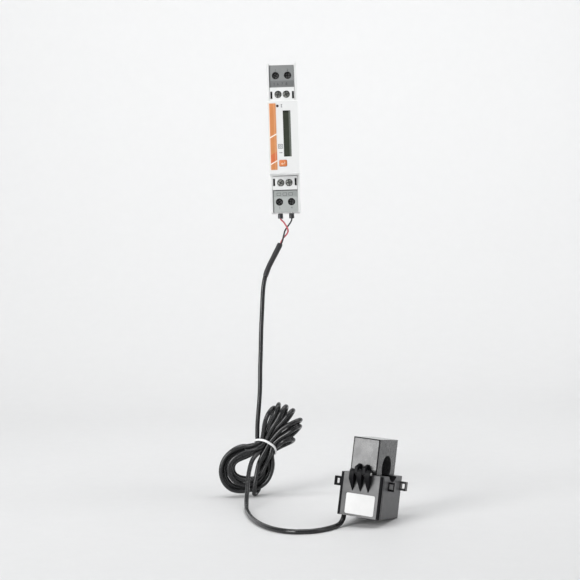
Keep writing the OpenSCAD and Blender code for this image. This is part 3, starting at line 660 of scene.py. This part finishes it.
def settle(X, start, end, ds=1.35, radius=5.45, stages=5, rounds=100):
    """Lets the turns push each other apart, keep the cable's own bending radius and pull straight through the tie."""
    X0 = X.copy()
    for st in range(stages):
        N = len(X)
        last = st == stages - 1
        free = np.zeros(N, bool)
        free[start - 1:end] = True
        idx = np.arange(max(0, start - 14), min(N, end + 30))
        I, J = np.triu_indices(len(idx), k=5)
        I, J = idx[I], idx[J]
        limits = [(k, 2 * radius * math.sin(min(math.pi / 2, k * ds / (2 * radius)))) for k in (2, 3, 4, 5, 6, 8)]
        keep = 0.05 * (1, 0.7, 0.35, 0.1, 0)[st]
        for it in range(rounds):
            if it % 5 == 0:
                d = X[J] - X[I]
                near = (d * d).sum(1) < (CABLE_D + 1.8) ** 2
                In, Jn = I[near], J[near]
                neck = np.clip((12.0 - np.linalg.norm(X - WAIST, axis=1)) / 5.0, 0, 1)[:, None]
            for _ in range(2):
                d = X[Jn] - X[In]
                L = np.sqrt((d * d).sum(1)) + 1e-9
                gap = CABLE_D * 1.012 - L
                m = gap > 0
                if m.any():
                    v = d[m] * (0.45 * gap[m] / L[m])[:, None]
                    acc = np.zeros_like(X)
                    cnt = np.zeros(N)
                    np.add.at(acc, In[m], -v)
                    np.add.at(acc, Jn[m], v)
                    np.add.at(cnt, In[m], 1)
                    np.add.at(cnt, Jn[m], 1)
                    acc /= np.maximum(1, cnt * 0.55)[:, None]
                    X[free] += acc[free]
            # no bend tighter than the cable takes: points a few steps apart keep their distance
            for k, c in limits:
                d = X[k:] - X[:-k]
                L = np.linalg.norm(d, axis=1) + 1e-9
                e = np.clip(c - L, 0, None) / L * (0.3 if last else 0.22)
                mv = np.zeros_like(X)
                mv[k:] += d * e[:, None]
                mv[:-k] -= d * e[:, None]
                X[free] += mv[free]
            lap = np.zeros_like(X)
            lap[1:-1] = (X[:-2] + X[2:]) / 2 - X[1:-1]
            bil = np.zeros_like(X)
            bil[2:-2] = -(X[:-4] - 4 * X[1:-3] + 6 * X[2:-2] - 4 * X[3:-1] + X[4:]) / 16
            mv = bil * (1 - neck) * 0.5 + (lap * (0.35 if st < stages - 2 else 0.10) + bil * 0.3) * neck
            X[free] += mv[free]
            X[free] += ((X0 - X) * keep * (1 - 0.85 * neck))[free]
            rel = X - WAIST
            a = rel @ TIE_N
            flat = rel - a[:, None] * TIE_N
            rad = np.linalg.norm(flat, axis=1)
            m = free & (np.abs(a) < 2.0) & (rad > 5.5) & (rad < 11)
            X[m] += flat[m] * ((5.5 / rad[m] - 1) * 0.8)[:, None]
            g = free.copy()
            g[end - 8:] = False
            X[g, 1] = np.clip(X[g, 1], -52.65, -41.55)
            X[free, 2] = np.maximum(X[free, 2], -216.62)
        if not last:
            s = np.r_[0, np.cumsum(np.linalg.norm(np.diff(X, axis=0), axis=1))]
            t = np.interp(np.linspace(0, s[-1], int(round(s[-1] / ds)) + 1), s, np.arange(N))
            X, X0 = (np.stack([np.interp(t, np.arange(N), A[:, k]) for k in range(3)], 1) for A in (X, X0))
            start, end = int(np.searchsorted(t, start)), int(np.searchsorted(t, end))
    return X


def main_route():
    ds = 1.35
    mid = catmull(hank_controls(), ds)
    up = catmull(UPPER, ds)
    low = catmull(LOWER[1:], ds)
    start = len(up) - 1
    X = settle(np.vstack([up[:-1], mid, low[1:]]), start, start + len(mid) - 1)
    X[:, 0] = np.maximum(X[:, 0], -44.8)
    X[:, 1] = np.maximum(X[:, 1], -161.74)
    X[:, 2] = np.maximum(X[:, 2], -216.62)
    # the cable starts inside the sleeve and runs on through it
    return np.vstack([catmull(SLEEVE, ds)[:-1], X])


def cord_curve(name, P_mm, d_mm, mat, body="root", every=1, resolution=6):
    """One open spline through the points, round, in metres."""
    P = np.asarray(P_mm, float) * MM
    if every > 1:
        P = np.vstack([P[:-1:every], P[-1:]])
    cu = bpy.data.curves.new(name, "CURVE")
    cu.dimensions = "3D"
    sp = cu.splines.new("POLY")
    sp.points.add(len(P) - 1)
    for q, p in zip(sp.points, P):
        q.co = (*p, 1)
    sp.use_smooth = True
    cu.bevel_depth = d_mm / 2 * MM
    cu.bevel_resolution = resolution
    cu.use_fill_caps = True
    cu.twist_mode = "MINIMUM"
    cu.materials.append(mat)
    o = bpy.data.objects.new(name, cu)
    SCENE.collection.objects.link(o)
    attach(o, body)
    return o


ROUTE = main_route()
ROUTE_FINE = catmull(ROUTE, 0.7)
cable = cord_curve("main_cable", ROUTE_FINE, CABLE_D, M["cable"], resolution=7)
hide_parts("cable_upper", "cable_hank", "cable_lower")

# the cores run on into the ferrule above and inside the sleeve below
red_full = catmull([[-3.4, -32.28, -46.0], [-3.4, -32.28, -47.6]] + RED + [[-4.6, -34.7, -66.4], [-6.6, -35.3, -70.6], [-7.6, -35.7, -72.6]], 0.5)
black_full = catmull([[3.5, -32.28, -46.0], [3.5, -32.28, -47.6]] + BLACK + [[-5.4, -35.0, -66.2], [-8.0, -36.4, -70.8], [-9.0, -36.9, -72.8]], 0.5)
red = cord_curve("red_core", red_full, CORE_D, M["red"], resolution=5)
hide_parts("red_wire")
black = cord_curve("black_core", black_full, CORE_D, M["black"], resolution=5)
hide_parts("black_wire")


def make_sleeve():
    """Shrunk tube: it hugs the cable below and closes round the two cores above, round, slightly uneven and a little
    narrower at both ends.
    """
    P = catmull(SLEEVE, 0.7)
    n = len(P)
    R = []
    for i in range(n):
        t = i / (n - 1)
        r = 1.70 - 0.10 * t + 0.03 * math.sin(9 * t) + 0.02 * math.sin(23 * t + 1)
        if t > 0.93:
            r -= 0.22 * ((t - 0.93) / 0.07) ** 2
        if t < 0.06:
            r -= 0.15 * ((0.06 - t) / 0.06) ** 2
        R.append(r * MM)
    bm = bmesh.new()
    sweep(bm, P * MM, R, 28)
    return link("sleeve_tube", finish_mesh(bm, "sleeve_tube", 50), M["sleeve"], "root", "cable_sleeve")


sleeve = make_sleeve()


def make_tie():
    """Plastic-covered tie: a soft band drawn round the waist, its ends twisted together behind."""
    front = np.array([0, -1.0, 0]) - TIE_N * (np.array([0, -1.0, 0]) @ TIE_N)
    front /= np.linalg.norm(front)
    side = np.cross(TIE_N, front)
    near = ROUTE_FINE[np.abs((ROUTE_FINE - WAIST) @ TIE_N) < 1.0]
    near = near[np.linalg.norm(near - WAIST, axis=1) < 9]
    count = 96
    angles = np.linspace(0, 2 * np.pi, count, endpoint=False)
    rel = near - WAIST
    px, py = rel @ front, rel @ side
    radius = np.array([(px * math.cos(a) + py * math.sin(a)).max() + CABLE_D / 2 + 0.42 for a in angles])
    for _ in range(6):
        radius = (np.roll(radius, 1) + 2 * radius + np.roll(radius, -1)) / 4
    # from the support distances of a convex outline to its points
    d = (np.roll(radius, -1) - np.roll(radius, 1)) / (2 * (2 * np.pi / count))
    P = np.array([WAIST + front * (radius[i] * math.cos(a) - d[i] * math.sin(a)) + side * (radius[i] * math.sin(a) + d[i] * math.cos(a)) for i, a in enumerate(angles)])
    bm = bmesh.new()
    T = np.roll(P, -1, 0) - np.roll(P, 1, 0)
    T /= np.linalg.norm(T, axis=1)[:, None]
    wide = np.cross(T, P - WAIST)
    wide /= np.linalg.norm(wide, axis=1)[:, None]
    out = np.cross(wide, T)
    rings = []
    sides = 14
    for i in range(count):
        ring = []
        for k in range(sides):
            a = 2 * math.pi * k / sides
            ca, sa = math.cos(a), math.sin(a)
            w = 0.80 * math.copysign(abs(ca) ** 0.75, ca)
            h = 0.42 * math.copysign(abs(sa) ** 0.85, sa) + (0.10 if abs(ca) < 0.3 and sa > 0 else 0)
            ring.append(bm.verts.new(Vector((P[i] + wide[i] * w + out[i] * h) * MM)))
        rings.append(ring)
    for i in range(count):
        a, b = rings[i], rings[(i + 1) % count]
        for k in range(sides):
            bm.faces.new((a[k], a[(k + 1) % sides], b[(k + 1) % sides], b[k]))
    # twisted ends, laid down along the back of the turns
    back = P[count // 2]
    tail = []
    for j in range(40):
        t = j / 39
        tail.append(back + np.array([-0.5 * t, 0.15 + 0.25 * math.sin(3 * t), 0.4 - 9.0 * t]))
    for phase in (0, math.pi):
        Q = []
        Tt, Nn, Bb = frames_along(np.array(tail))
        for j, p in enumerate(tail):
            t = j / 39
            a = phase + 2 * math.pi * 4.5 * t
            r = 0.52
            Q.append((p + Nn[j] * r * math.cos(a) + Bb[j] * r * math.sin(a)) * MM)
        sweep(bm, np.array(Q), 0.46 * MM, 8)
    return link("tie_band", finish_mesh(bm, "tie_band", 60), M["tie"], "root", "cable_tie")


tie = make_tie()


def make_ferrule(x, name):
    """Bare tube with a moulded collar that flares to take the core."""
    place = Matrix.Translation((x * MM, -32.28 * MM, 0))
    bm = bmesh.new()
    prof = [(0.64, -48.4), (0.78, -48.4), (0.78, -47.2)]
    collar = [(0.56, -48.35), (1.50, -48.4), (1.59, -48.32), (1.60, -48.1), (1.59, -47.2), (1.56, -46.3), (1.54, -45.6), (1.52, -45.35), (1.42, -45.24), (0.72, -45.22), (0.56, -45.3), (0.56, -46.6)]
    lathe(bm, [(r * MM, h * MM) for r, h in collar], place, 36)
    for f in bm.faces:
        f.material_index = 0
    n0 = len(bm.faces)
    tube = [(0.0, -45.6), (0.62, -45.6), (0.67, -45.2), (0.67, -36.2), (0.60, -35.7), (0.0, -35.62)]
    lathe(bm, [(r * MM, h * MM) for r, h in tube], place, 28, close=False)
    bm.faces.ensure_lookup_table()
    for f in bm.faces[n0:]:
        f.material_index = 1
    return link(name, finish_mesh(bm, name, 40), [M["ferrule"], M["steel"]], "root")


ferrule_l = make_ferrule(-3.4, "ferrule_left")
ferrule_r = make_ferrule(3.5, "ferrule_right")
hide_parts("wire_ferrules")

# ------------------------------------------------------------------ meter body
soften("base_housing", "housing_shell", [M["white"], M["white_in"]], 0.35, 3)
# painted light: downward faces at the front cover's lower end take the paler white copy
soften("front_cover", "front_shell", [M["white"], M["white_low"]], 0.28, 3, tag=lambda c, n: 1 if n.z < -0.4 and c.z < -21.5 else 0)


def slab(bm, x0, x1, z0, z1, y0, y1, r, steps=5, edge=0.0, mat=0):
    """Plate with round corners in X and Z, from y0 (front) to y1 (back), and an optional rounded front edge. Millimetres."""
    def outline(inset):
        pts = []
        rr = max(0.02, r - inset)
        for cx, cz, a0 in ((x1 - r, z1 - r, 0), (x0 + r, z1 - r, 90), (x0 + r, z0 + r, 180), (x1 - r, z0 + r, 270)):
            for k in range(steps + 1):
                a = math.radians(a0 + 90 * k / steps)
                pts.append((cx + rr * math.cos(a), cz + rr * math.sin(a)))
        return pts
    levels = []
    if edge:
        for k in range(4):
            a = math.pi / 2 * k / 3
            levels.append((edge * (1 - math.sin(a)), y0 + edge * (1 - math.cos(a))))
    else:
        levels.append((0, y0))
    levels.append((0, y1))
    rings = []
    for inset, y in levels:
        rings.append([bm.verts.new((x * MM, y * MM, z * MM)) for x, z in outline(inset)])
    faces = []
    for a, b in zip(rings, rings[1:]):
        for k in range(len(a)):
            faces.append(bm.faces.new((a[k], a[(k + 1) % len(a)], b[(k + 1) % len(a)], b[k])))
    faces.append(bm.faces.new(rings[0]))
    faces.append(bm.faces.new(rings[-1][::-1]))
    for f in faces:
        f.material_index = mat


def one_slab(name, args, mat, slot=None, replaces=(), body="root", **kw):
    bm = bmesh.new()
    slab(bm, *args, **kw)
    return link(name, finish_mesh(bm, name, 50), mat, body, replaces)


one_slab("stripe_strip", (-8.4, -4.0, -19.6, 20.4, -58.02, -57.82, 0.35), M["stripe"], "stripe", "side_stripe", edge=0.05)
one_slab("window_pane", (0.05, 4.55, -11.65, 15.85, -57.85, -56.8, 0.25), M["window"], "window", "display_window", edge=0.12)


def make_key():
    """Key cap: rounded square with a soft crown, and its flange behind the cover."""
    bm = bmesh.new()
    cx, cz, w, h = -0.65, -15.6, 4.6, 3.8
    levels = [(-58.38, 0.95), (-58.385, 0.6), (-58.34, 0.32), (-58.2, 0.1), (-58.0, 0.0), (-56.65, 0.0)]
    rings = []
    for y, inset in levels:
        r = max(0.25, 0.8 - inset)
        pts = []
        x1, z1 = w / 2 - inset, h / 2 - inset
        for sx, sz, a0 in ((1, 1, 0), (-1, 1, 90), (-1, -1, 180), (1, -1, 270)):
            for k in range(7):
                a = math.radians(a0 + 90 * k / 6)
                pts.append((cx + sx * (x1 - r) + r * math.cos(a), cz + sz * (z1 - r) + r * math.sin(a)))
        rings.append([bm.verts.new((x * MM, y * MM, z * MM)) for x, z in pts])
    for a, b in zip(rings, rings[1:]):
        for k in range(len(a)):
            bm.faces.new((a[k], a[(k + 1) % len(a)], b[(k + 1) % len(a)], b[k]))
    bm.faces.new(rings[0])
    bm.faces.new(rings[-1][::-1])
    slab(bm, cx - 2.9, cx + 2.9, cz - 2.5, cz + 2.5, -56.65, -56.1, 0.8)
    return link("key_cap", finish_mesh(bm, "key_cap", 50), M["key"], "display_button", "display_button")


make_key()


def make_light():
    bm = bmesh.new()
    place = Matrix.Translation((-3.1 * MM, 0, 18.7 * MM)) @ Matrix.Rotation(math.radians(90), 4, "X")
    prof = [(0.0, 57.98), (0.35, 57.96), (0.62, 57.88), (0.76, 57.72), (0.79, 57.5), (0.79, 53.4), (0.0, 53.4)]
    lathe(bm, [(r * MM, h * MM) for r, h in prof], place, 28, close=False)
    return link("pulse_light", finish_mesh(bm, "pulse_light", 50), M["pipe"], "root", "pulse_light_pipe")


make_light()

DARK_IN = 1


# painted shade: the walls of the screw holes take material 1, near black
def plate_tag(zc):
    def tag(c, n):
        hole = min(math.hypot(c.x - x, c.z - zc) for x in (-3.7, 3.7))
        return 1 if hole < 2.25 and abs(n.y) < 0.5 else 0
    return tag


# painted shade: the walls of the screw holes and the floors of the seal slots take material 1, near black
def cover_tag(zc):
    def tag(c, n):
        hole = min(math.hypot(c.x - x, c.z - zc) for x in (-2.5, 2.5))
        slot = 5.95 < abs(c.x) < 7.2 and abs(c.z - (26.4 if zc > 0 else -26.4)) < 2.25
        return 1 if (hole < 2.22 and abs(n.y) < 0.5) or (slot and c.y > -45.975) else 0
    return tag


soften("upper_terminal_plate", "terminal_plate_top", [M["dark_plate"], M["painted_shade_well"]], 0.16, 2, tag=plate_tag(38.4))
soften("lower_terminal_plate", "terminal_plate_bottom", [M["light_plate"], M["painted_shade_well"]], 0.16, 2, tag=plate_tag(-38.4))
soften("upper_signal_cover", "signal_cover_top", [M["white"], M["painted_shade_well"]], 0.16, 2, tag=cover_tag(26.8))
soften("lower_signal_cover", "signal_cover_bottom", [M["white"], M["painted_shade_well"]], 0.16, 2, tag=cover_tag(-26.8))


soften("upper_terminal_carrier", "carrier_top", M["carrier"], 0.12, 1)
soften("lower_terminal_carrier", "carrier_bottom", M["carrier"], 0.12, 1)


def make_screw_mesh(name, x, z, head_r, head_y, head_t, shank_r, tip_y, turn):
    """Head with rolled edge and a cross recess, thread on the shank; built as a turned body with the recess cut by boolean."""
    place = Matrix.Translation((x * MM, 0, z * MM)) @ Matrix.Rotation(math.radians(turn), 4, "Y") @ Matrix.Rotation(math.radians(90), 4, "X")
    # turned body: heights run along -Y in the frame
    h0, h1, tip = -head_y, -(head_y + head_t), -tip_y
    prof = [(0.0, h0 + 0.0), (head_r * 0.55, h0 - 0.02), (head_r * 0.82, h0 - 0.08), (head_r * 0.95, h0 - 0.20), (head_r, h0 - 0.42), (head_r, h1 + 0.08), (head_r * 0.97, h1)]
    prof += [(shank_r * 0.98, h1)]
    pitch = 0.5 if shank_r > 1.4 else 0.45
    y = h1 - 0.15
    while y > tip + 0.5:
        prof += [(shank_r, y), (shank_r * 0.80, y - pitch / 2)]
        y -= pitch
    prof += [(shank_r * 0.85, tip + 0.25), (shank_r * 0.6, tip), (0.0, tip)]
    bm = bmesh.new()
    lathe(bm, [(r * MM, h * MM) for r, h in prof], place, 40, close=False)
    body = finish_mesh(bm, name, 40)
    cut = bmesh.new()
    for dx, dz, deep in ((head_r + 1, 0.26, 0.72), (0.26, head_r + 1, 0.56)):
        vs = [cut.verts.new(place @ Vector((sx * dx * MM, sz * dz * MM, hh * MM))) for hh in (h0 + 1, h0 - deep) for sx, sz in ((-1, -1), (1, -1), (1, 1), (-1, 1))]
        a, b = vs[:4], vs[4:]
        cut.faces.new(a[::-1]); cut.faces.new(b)
        for k in range(4):
            cut.faces.new((a[k], a[(k + 1) % 4], b[(k + 1) % 4], b[k]))
    cutter = finish_mesh(cut, name + "_cut")
    return body, cutter


def screws():
    for kind, px, pz, dims in (("main", 3.7, 38.4, (1.95, -42.2, 1.6, 1.5, -34.0)), ("signal", 2.5, 26.8, (2.05, -44.9, 1.85, 1.25, -26.0))):
        for v, vs in (("upper", 1), ("lower", -1)):
            for h, hs in (("left", -1), ("right", 1)):
                n = f"{kind}_screw_{v}_{h}"
                turn = {"upper_left": 12, "upper_right": -24, "lower_left": 33, "lower_right": -8}[f"{v}_{h}"] + (20 if kind == "main" else 0)
                body, cutter = make_screw_mesh(n + "_turned", hs * px, vs * pz, *dims, turn)
                o = bpy.data.objects.new(n + "_turned", body)
                c = bpy.data.objects.new(n + "_cutter", cutter)
                SCENE.collection.objects.link(o)
                SCENE.collection.objects.link(c)
                m = o.modifiers.new("cut", "BOOLEAN")
                m.object = c
                m.operation = "DIFFERENCE"
                m.solver = "EXACT"
                m.use_self = True
                bpy.context.view_layer.update()
                dg = bpy.context.evaluated_depsgraph_get()
                me = bpy.data.meshes.new_from_object(o.evaluated_get(dg))
                o.modifiers.clear()
                bpy.data.objects.remove(c)
                bpy.data.objects.remove(o)
                bm = bmesh.new()
                bm.from_mesh(me)
                bmesh.ops.remove_doubles(bm, verts=bm.verts, dist=1e-6)
                bm.normal_update()
                # painted shade: the cross recess and the shank under the head take material 1
                face_y = dims[1]
                for f in bm.faces:
                    c = f.calc_center_median() / MM
                    r = math.hypot(c.x - hs * px, c.z - vs * pz)
                    in_cross = face_y + 0.12 < c.y < face_y + 0.78 and r < dims[0] * 0.97
                    f.material_index = 1 if in_cross or c.y > face_y + dims[2] - 0.1 else 0
                new = finish_mesh(bm, n + "_turned", 35)
                link(n + "_turned", new, [M["screw_head"] if kind == "signal" else M["steel_dark"], M["recess"] if kind == "signal" else M["recess_main"]], n, n)


screws()


def write(text, x, z, size, y, depth=0.012):
    """A flat raised character on a face that looks to the front."""
    cu = bpy.data.curves.new("num", "FONT")
    cu.body = text
    cu.size = size * 1.35 * MM
    cu.align_x = "CENTER"
    cu.extrude = depth * MM
    t = bpy.data.objects.new("num", cu)
    SCENE.collection.objects.link(t)
    t.matrix_world = Matrix.Translation((x * MM, (y - depth) * MM, z * MM)) @ Matrix.Rotation(math.radians(90), 4, "X")
    bpy.context.view_layer.update()
    me = bpy.data.meshes.new_from_object(t.evaluated_get(bpy.context.evaluated_depsgraph_get()))
    me.transform(t.matrix_world)
    bpy.data.objects.remove(t)
    return me


def numerals():
    """Strips and terminal numbers on the two plates: plain, generic marks."""
    one_slab("strip_top", (-7.1, 7.1, 31.7, 35.2, -44.34, -44.30, 0.3), M["strip"], edge=0.02)
    one_slab("strip_bottom", (-7.1, 7.1, -35.4, -31.9, -44.34, -44.30, 0.3), M["strip_light"], edge=0.02)
    # painted shadow: a dark line along the gap between the lower plate and the signal cover above it
    one_slab("plate_gap_shadow", (-7.0, 7.2, -31.64, -31.3, -44.34, -44.30, 0.1), M["print_and_shadow_dark"], edge=0.02)
    groups = {
        "print_and_shadow_dark": [("1", -3.7, 40.95, 1.5, -44.3), ("2", 3.7, 40.95, 1.5, -44.3), ("5", -4.6, 32.5, 1.7, -44.34), ("6", -2.4, 32.5, 1.7, -44.34), ("7", 0.2, 32.5, 1.7, -44.34), ("8", 2.8, 32.5, 1.7, -44.34)],
        "mark_mid": [("3", -3.7, -42.7, 1.5, -44.3), ("4", 3.7, -42.7, 1.5, -44.3)],
    }
    for group, items in groups.items():
        bm = bmesh.new()
        for item in items:
            bm.from_mesh(write(*item))
        if group == "mark_mid":
            # two outlined fields on the lower strip
            for x0, x1 in ((-5.2, -2.6), (-1.6, 1.0), (2.0, 4.6)):
                for bar in ((x0, x1, -33.05, -32.8), (x0, x1, -34.6, -34.35), (x0, x0 + 0.25, -34.6, -32.8), (x1 - 0.25, x1, -34.6, -32.8)):
                    slab(bm, *bar, -44.365, -44.34, 0.04, steps=1)
        for f in bm.faces:
            f.material_index = 0
        me = finish_mesh(bm, group, 30)
        me.materials.clear()
        link("numbers_" + group, me, M[group], "root")


numerals()


def front_marks():
    """Printed marks beside the window: a square in a square, a dash, and a bracket by the pulse light."""
    bm = bmesh.new()
    y0, y1 = -58.022, -58.0
    cx, cz = -1.95, -5.5
    for half, line in ((1.35, 0.34), (0.62, 0.32)):
        for bar in ((-half, half, half - line, half), (-half, half, -half, -half + line), (-half, -half + line, -half + line, half - line), (half - line, half, -half + line, half - line)):
            slab(bm, cx + bar[0], cx + bar[1], cz + bar[2], cz + bar[3], y0, y1, 0.03, steps=1)
    slab(bm, -2.8, -1.5, -9.5, -9.15, y0, y1, 0.05, steps=2)
    slab(bm, -1.5, -0.95, -9.6, -9.05, y0, y1, 0.1, steps=3)
    for bar in ((-0.95, -0.55, 17.75, 19.65), (-0.95, -0.2, 19.32, 19.65), (-0.95, -0.2, 17.75, 18.08)):
        slab(bm, *bar, y0, y1, 0.03, steps=1)
    me = finish_mesh(bm, "front_marks", 50)
    link("front_marks", me, M["print"], "root")


front_marks()


def key_mark():
    """A return arrow on the key, raised a little."""
    bm = bmesh.new()
    cx, cz, y0, y1 = -0.65, -15.6, -58.398, -58.37
    slab(bm, cx + 0.68, cx + 1.18, cz - 0.6, cz + 0.85, y0, y1, 0.08, steps=2)
    slab(bm, cx - 0.6, cx + 1.18, cz - 0.62, cz - 0.12, y0, y1, 0.08, steps=2)
    a = [(cx - 0.4, cz + 0.42), (cx - 1.4, cz - 0.37), (cx - 0.4, cz - 1.16)]
    front = [bm.verts.new((x * MM, (y0 - 0.002) * MM, z * MM)) for x, z in a]
    rear = [bm.verts.new((x * MM, y1 * MM, z * MM)) for x, z in a]
    bm.faces.new(front)
    bm.faces.new(rear[::-1])
    for k in range(3):
        bm.faces.new((front[k], front[(k + 1) % 3], rear[(k + 1) % 3], rear[k]))
    link("key_arrow", finish_mesh(bm, "key_arrow", 40), M["key_mark"], "display_button")


key_mark()


def lcd_segments():
    """Unlit segments of four upright digits behind the tinted window."""
    bm = bmesh.new()
    y0, y1 = -57.858, -57.85
    for d in range(5):
        zc = 11.5 - d * 4.6
        for seg in ((0.85, 1.05, -1.6, 1.6), (3.05, 3.25, -1.6, 1.6), (1.95, 2.15, -1.45, 1.45)):
            slab(bm, seg[0], seg[1], zc + seg[2], zc - 0.12, y0, y1, 0.06, steps=2)
            slab(bm, seg[0], seg[1], zc + 0.12, zc + seg[3], y0, y1, 0.06, steps=2)
    m = moulded("lcd_segment", (0.028, 0.033, 0.022), 0.2, 0.1, 0.2, 0.1)
    link("lcd_segments", finish_mesh(bm, "lcd_segments", 50), m, "root")


lcd_segments()

# ------------------------------------------------------------------ rail side
soften("rail_clip", "clip_slider", M["clip"], 0.2, 2)


def make_spring():
    bm = bmesh.new()
    P = []
    for i in range(0, 6 * 20 + 1):
        t = i / 120
        a = 2 * math.pi * 6 * t
        P.append((1.3 * math.cos(a), 2.5 + 1.3 * math.sin(a), -33.7 + 9.4 * t))
    sweep(bm, np.array(P) * MM, 0.26 * MM, 10)
    o = link("spring_coil", finish_mesh(bm, "spring_coil", 60), M["steel"], "root", "clip_spring")
    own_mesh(o)
    return o


make_spring()

# ------------------------------------------------------------------ current sensor
def ct_matrix():
    rx, ry, rz = (math.radians(a) for a in (-8.5, 5.5, -25))
    return Matrix.Translation(Vector((39.8, -135.1, -214.5)) * MM) @ Matrix.Rotation(rz, 4, "Z") @ Matrix.Rotation(ry, 4, "Y") @ Matrix.Rotation(rx, 4, "X")


CT = ct_matrix()
CT_INV = CT.inverted()


def ct_cut(axis, at):
    """A plane across the sensor, square to one of its own axes."""
    no = [0.0, 0.0, 0.0]
    no[axis] = 1.0
    return CT @ (Vector(no) * at * MM), (CT.to_3x3() @ Vector(no)).normalized()


def base_tag(c, n):
    """Case; knuckles and the inside of the window trough in near-black painted shade; painted shade along the rim round
    the front face, on the strap eye and in bands down the sides.
    """
    p = CT_INV @ (c * MM) / MM
    m = CT_INV.to_3x3() @ n
    # knuckles: near-black painted shade
    if p.y < -15.74 and p.z > 12.4:
        return 1
    # inside of the window trough: near-black painted shade
    if abs(m.x) < 0.5 and abs(p.x) < 12.05 and math.hypot(p.y, p.z - 27.1) < 7.15:
        return 1
    # front face of the strap eye: painted shade
    if p.x > 12.2 and p.y < -2.5 and m.y < -0.5:
        return 2
    # painted shade in bands along the front corners and down the sides
    if abs(m.z) < 0.8 and 0.2 < p.z < 23.0:
        if p.y < -15.1 and (p.x < -10.3 or p.x > 10.6):
            return 2
        if abs(p.x) > 11.0 and abs(p.y) > 14.65 and abs(p.x) < 12.2:
            return 2
        if 11.9 < abs(p.x) < 12.16 and (-13.1 < p.y < -12.6 or p.y < -14.1):
            return 2
    return 0


def cap_tag(c, n):
    p = CT_INV @ (c * MM) / MM
    m = CT_INV.to_3x3() @ n
    # hooks: near-black painted shade
    if p.y < -14.28:
        return 1
    if p.z > 42.3 and m.z > 0.7:
        return 2
    # painted shade along the rim of the front face
    if p.y < -13.75 and (abs(p.x) > 7.05 or p.z > 42.15) and m.y < -0.35:
        return 3
    return 0


soften("sensor_base", "sensor_body", [M["sensor"], M["sensor_dark"], M["sensor_edge"]], 0.4, 3, tag=base_tag, cuts=(ct_cut(0, -10.3), ct_cut(0, 10.6), ct_cut(1, -14.1), ct_cut(1, -13.1), ct_cut(1, -12.6)))
soften("sensor_cap", "sensor_lid", [M["sensor_cap"], M["sensor_dark"], M["sensor_top"], M["sensor_edge"]], 0.28, 2, tag=cap_tag, cuts=(ct_cut(0, -7.05), ct_cut(0, 7.05), ct_cut(2, 42.15)))
# the latch takes the near-black painted shade
soften("sensor_latch", "sensor_catch", M["sensor_dark"], 0.3, 2)
soften("sensor_bottom_plate", "sensor_floor", M["sensor"], 0.2, 2)
soften("sensor_hinge_pin", "hinge_pin_bar", M["steel"], 0.15, 2)


def make_label():
    bm = bmesh.new()
    slab(bm, -7.7, 8.9, 1.2, 12.3, -15.82, -15.70, 0.9, steps=6, edge=0.04)
    bmesh.ops.transform(bm, matrix=CT, verts=bm.verts)
    return link("label_sheet", finish_mesh(bm, "label_sheet", 50), M["label"], "root", "sensor_label")


make_label()

# ------------------------------------------------------------------ carried-over nodes
FINISH = {
    "display_glass": "lcd", "display_holder": "white_in", "display_board": "board", "main_board": "board",
    "board_connector": "epoxy", "film_capacitor": "film", "electrolytic_capacitors": "can", "power_transformer": "epoxy",
    "varistor": "disc", "board_chips": "epoxy", "switch_plunger": "white_in", "tact_switch": "tin",
    "terminal_contacts": "copper", "sensor_base_core": "core", "sensor_cap_core": "core", "sensor_coil": "copper",
}
for k in ("main", "signal"):
    for v in ("upper", "lower"):
        for h in ("left", "right"):
            FINISH[f"{k}_cage_{v}_{h}"] = "brass"
for n, key in FINISH.items():
    o = NODES[n]
    o.data.materials.clear()
    o.data.materials.append(M[key])

# ------------------------------------------------------------------ floor and light
def stage():
    bm = bmesh.new()
    prof = [(-2.2, -0.218), (0.35, -0.218)]
    for k in range(1, 13):
        a = math.radians(90 * k / 12)
        prof.append((0.35 + 0.5 * math.sin(a), -0.218 + 0.5 * (1 - math.cos(a))))
    prof.append((0.85, 2.2))
    rows = [[bm.verts.new((x, y, z)) for x in (-2.6, 2.6)] for y, z in prof]
    for a, b in zip(rows, rows[1:]):
        bm.faces.new((a[0], a[1], b[1], b[0]))
    for f in bm.faces:
        f.smooth = True
    me = bpy.data.meshes.new("studio_floor")
    bm.to_mesh(me)
    bm.free()
    o = bpy.data.objects.new("studio_floor", me)
    SCENE.collection.objects.link(o)
    me.materials.append(moulded("floor_paper", (0.66, 0.662, 0.663), 0.6, 0.2, 1.5, 0.01, 0.3))


stage()


def area(name, loc, target, size, power, colour=(1, 1, 1)):
    li = bpy.data.lights.new(name, "AREA")
    li.shape = "RECTANGLE"
    li.size, li.size_y = size
    li.energy = power
    li.color = colour
    o = bpy.data.objects.new(name, li)
    SCENE.collection.objects.link(o)
    o.location = loc
    o.rotation_mode = "QUATERNION"
    o.rotation_quaternion = (Vector(target) - Vector(loc)).to_track_quat("-Z", "Y")
    return o


area("softbox_left", (-0.95, -1.05, 0.22), (0.0, -0.08, -0.12), (0.6, 0.9), 17.3)
area("softbox_top", (0.05, -0.25, 1.15), (0.0, -0.05, -0.15), (1.4, 1.0), 8.6)
area("fill_right", (1.15, -0.55, 0.25), (0.0, -0.08, -0.12), (0.7, 1.0), 3.1)
area("backdrop_wash", (0.3, 0.0, 0.85), (0.2, 0.85, 0.25), (2.0, 0.4), 8.3)

world = bpy.data.worlds.new("studio")
SCENE.world = world
world.use_nodes = True
wb = world.node_tree.nodes["Background"]
wb.inputs["Color"].default_value = (0.95, 0.97, 1.0, 1)
wb.inputs["Strength"].default_value = 0.22
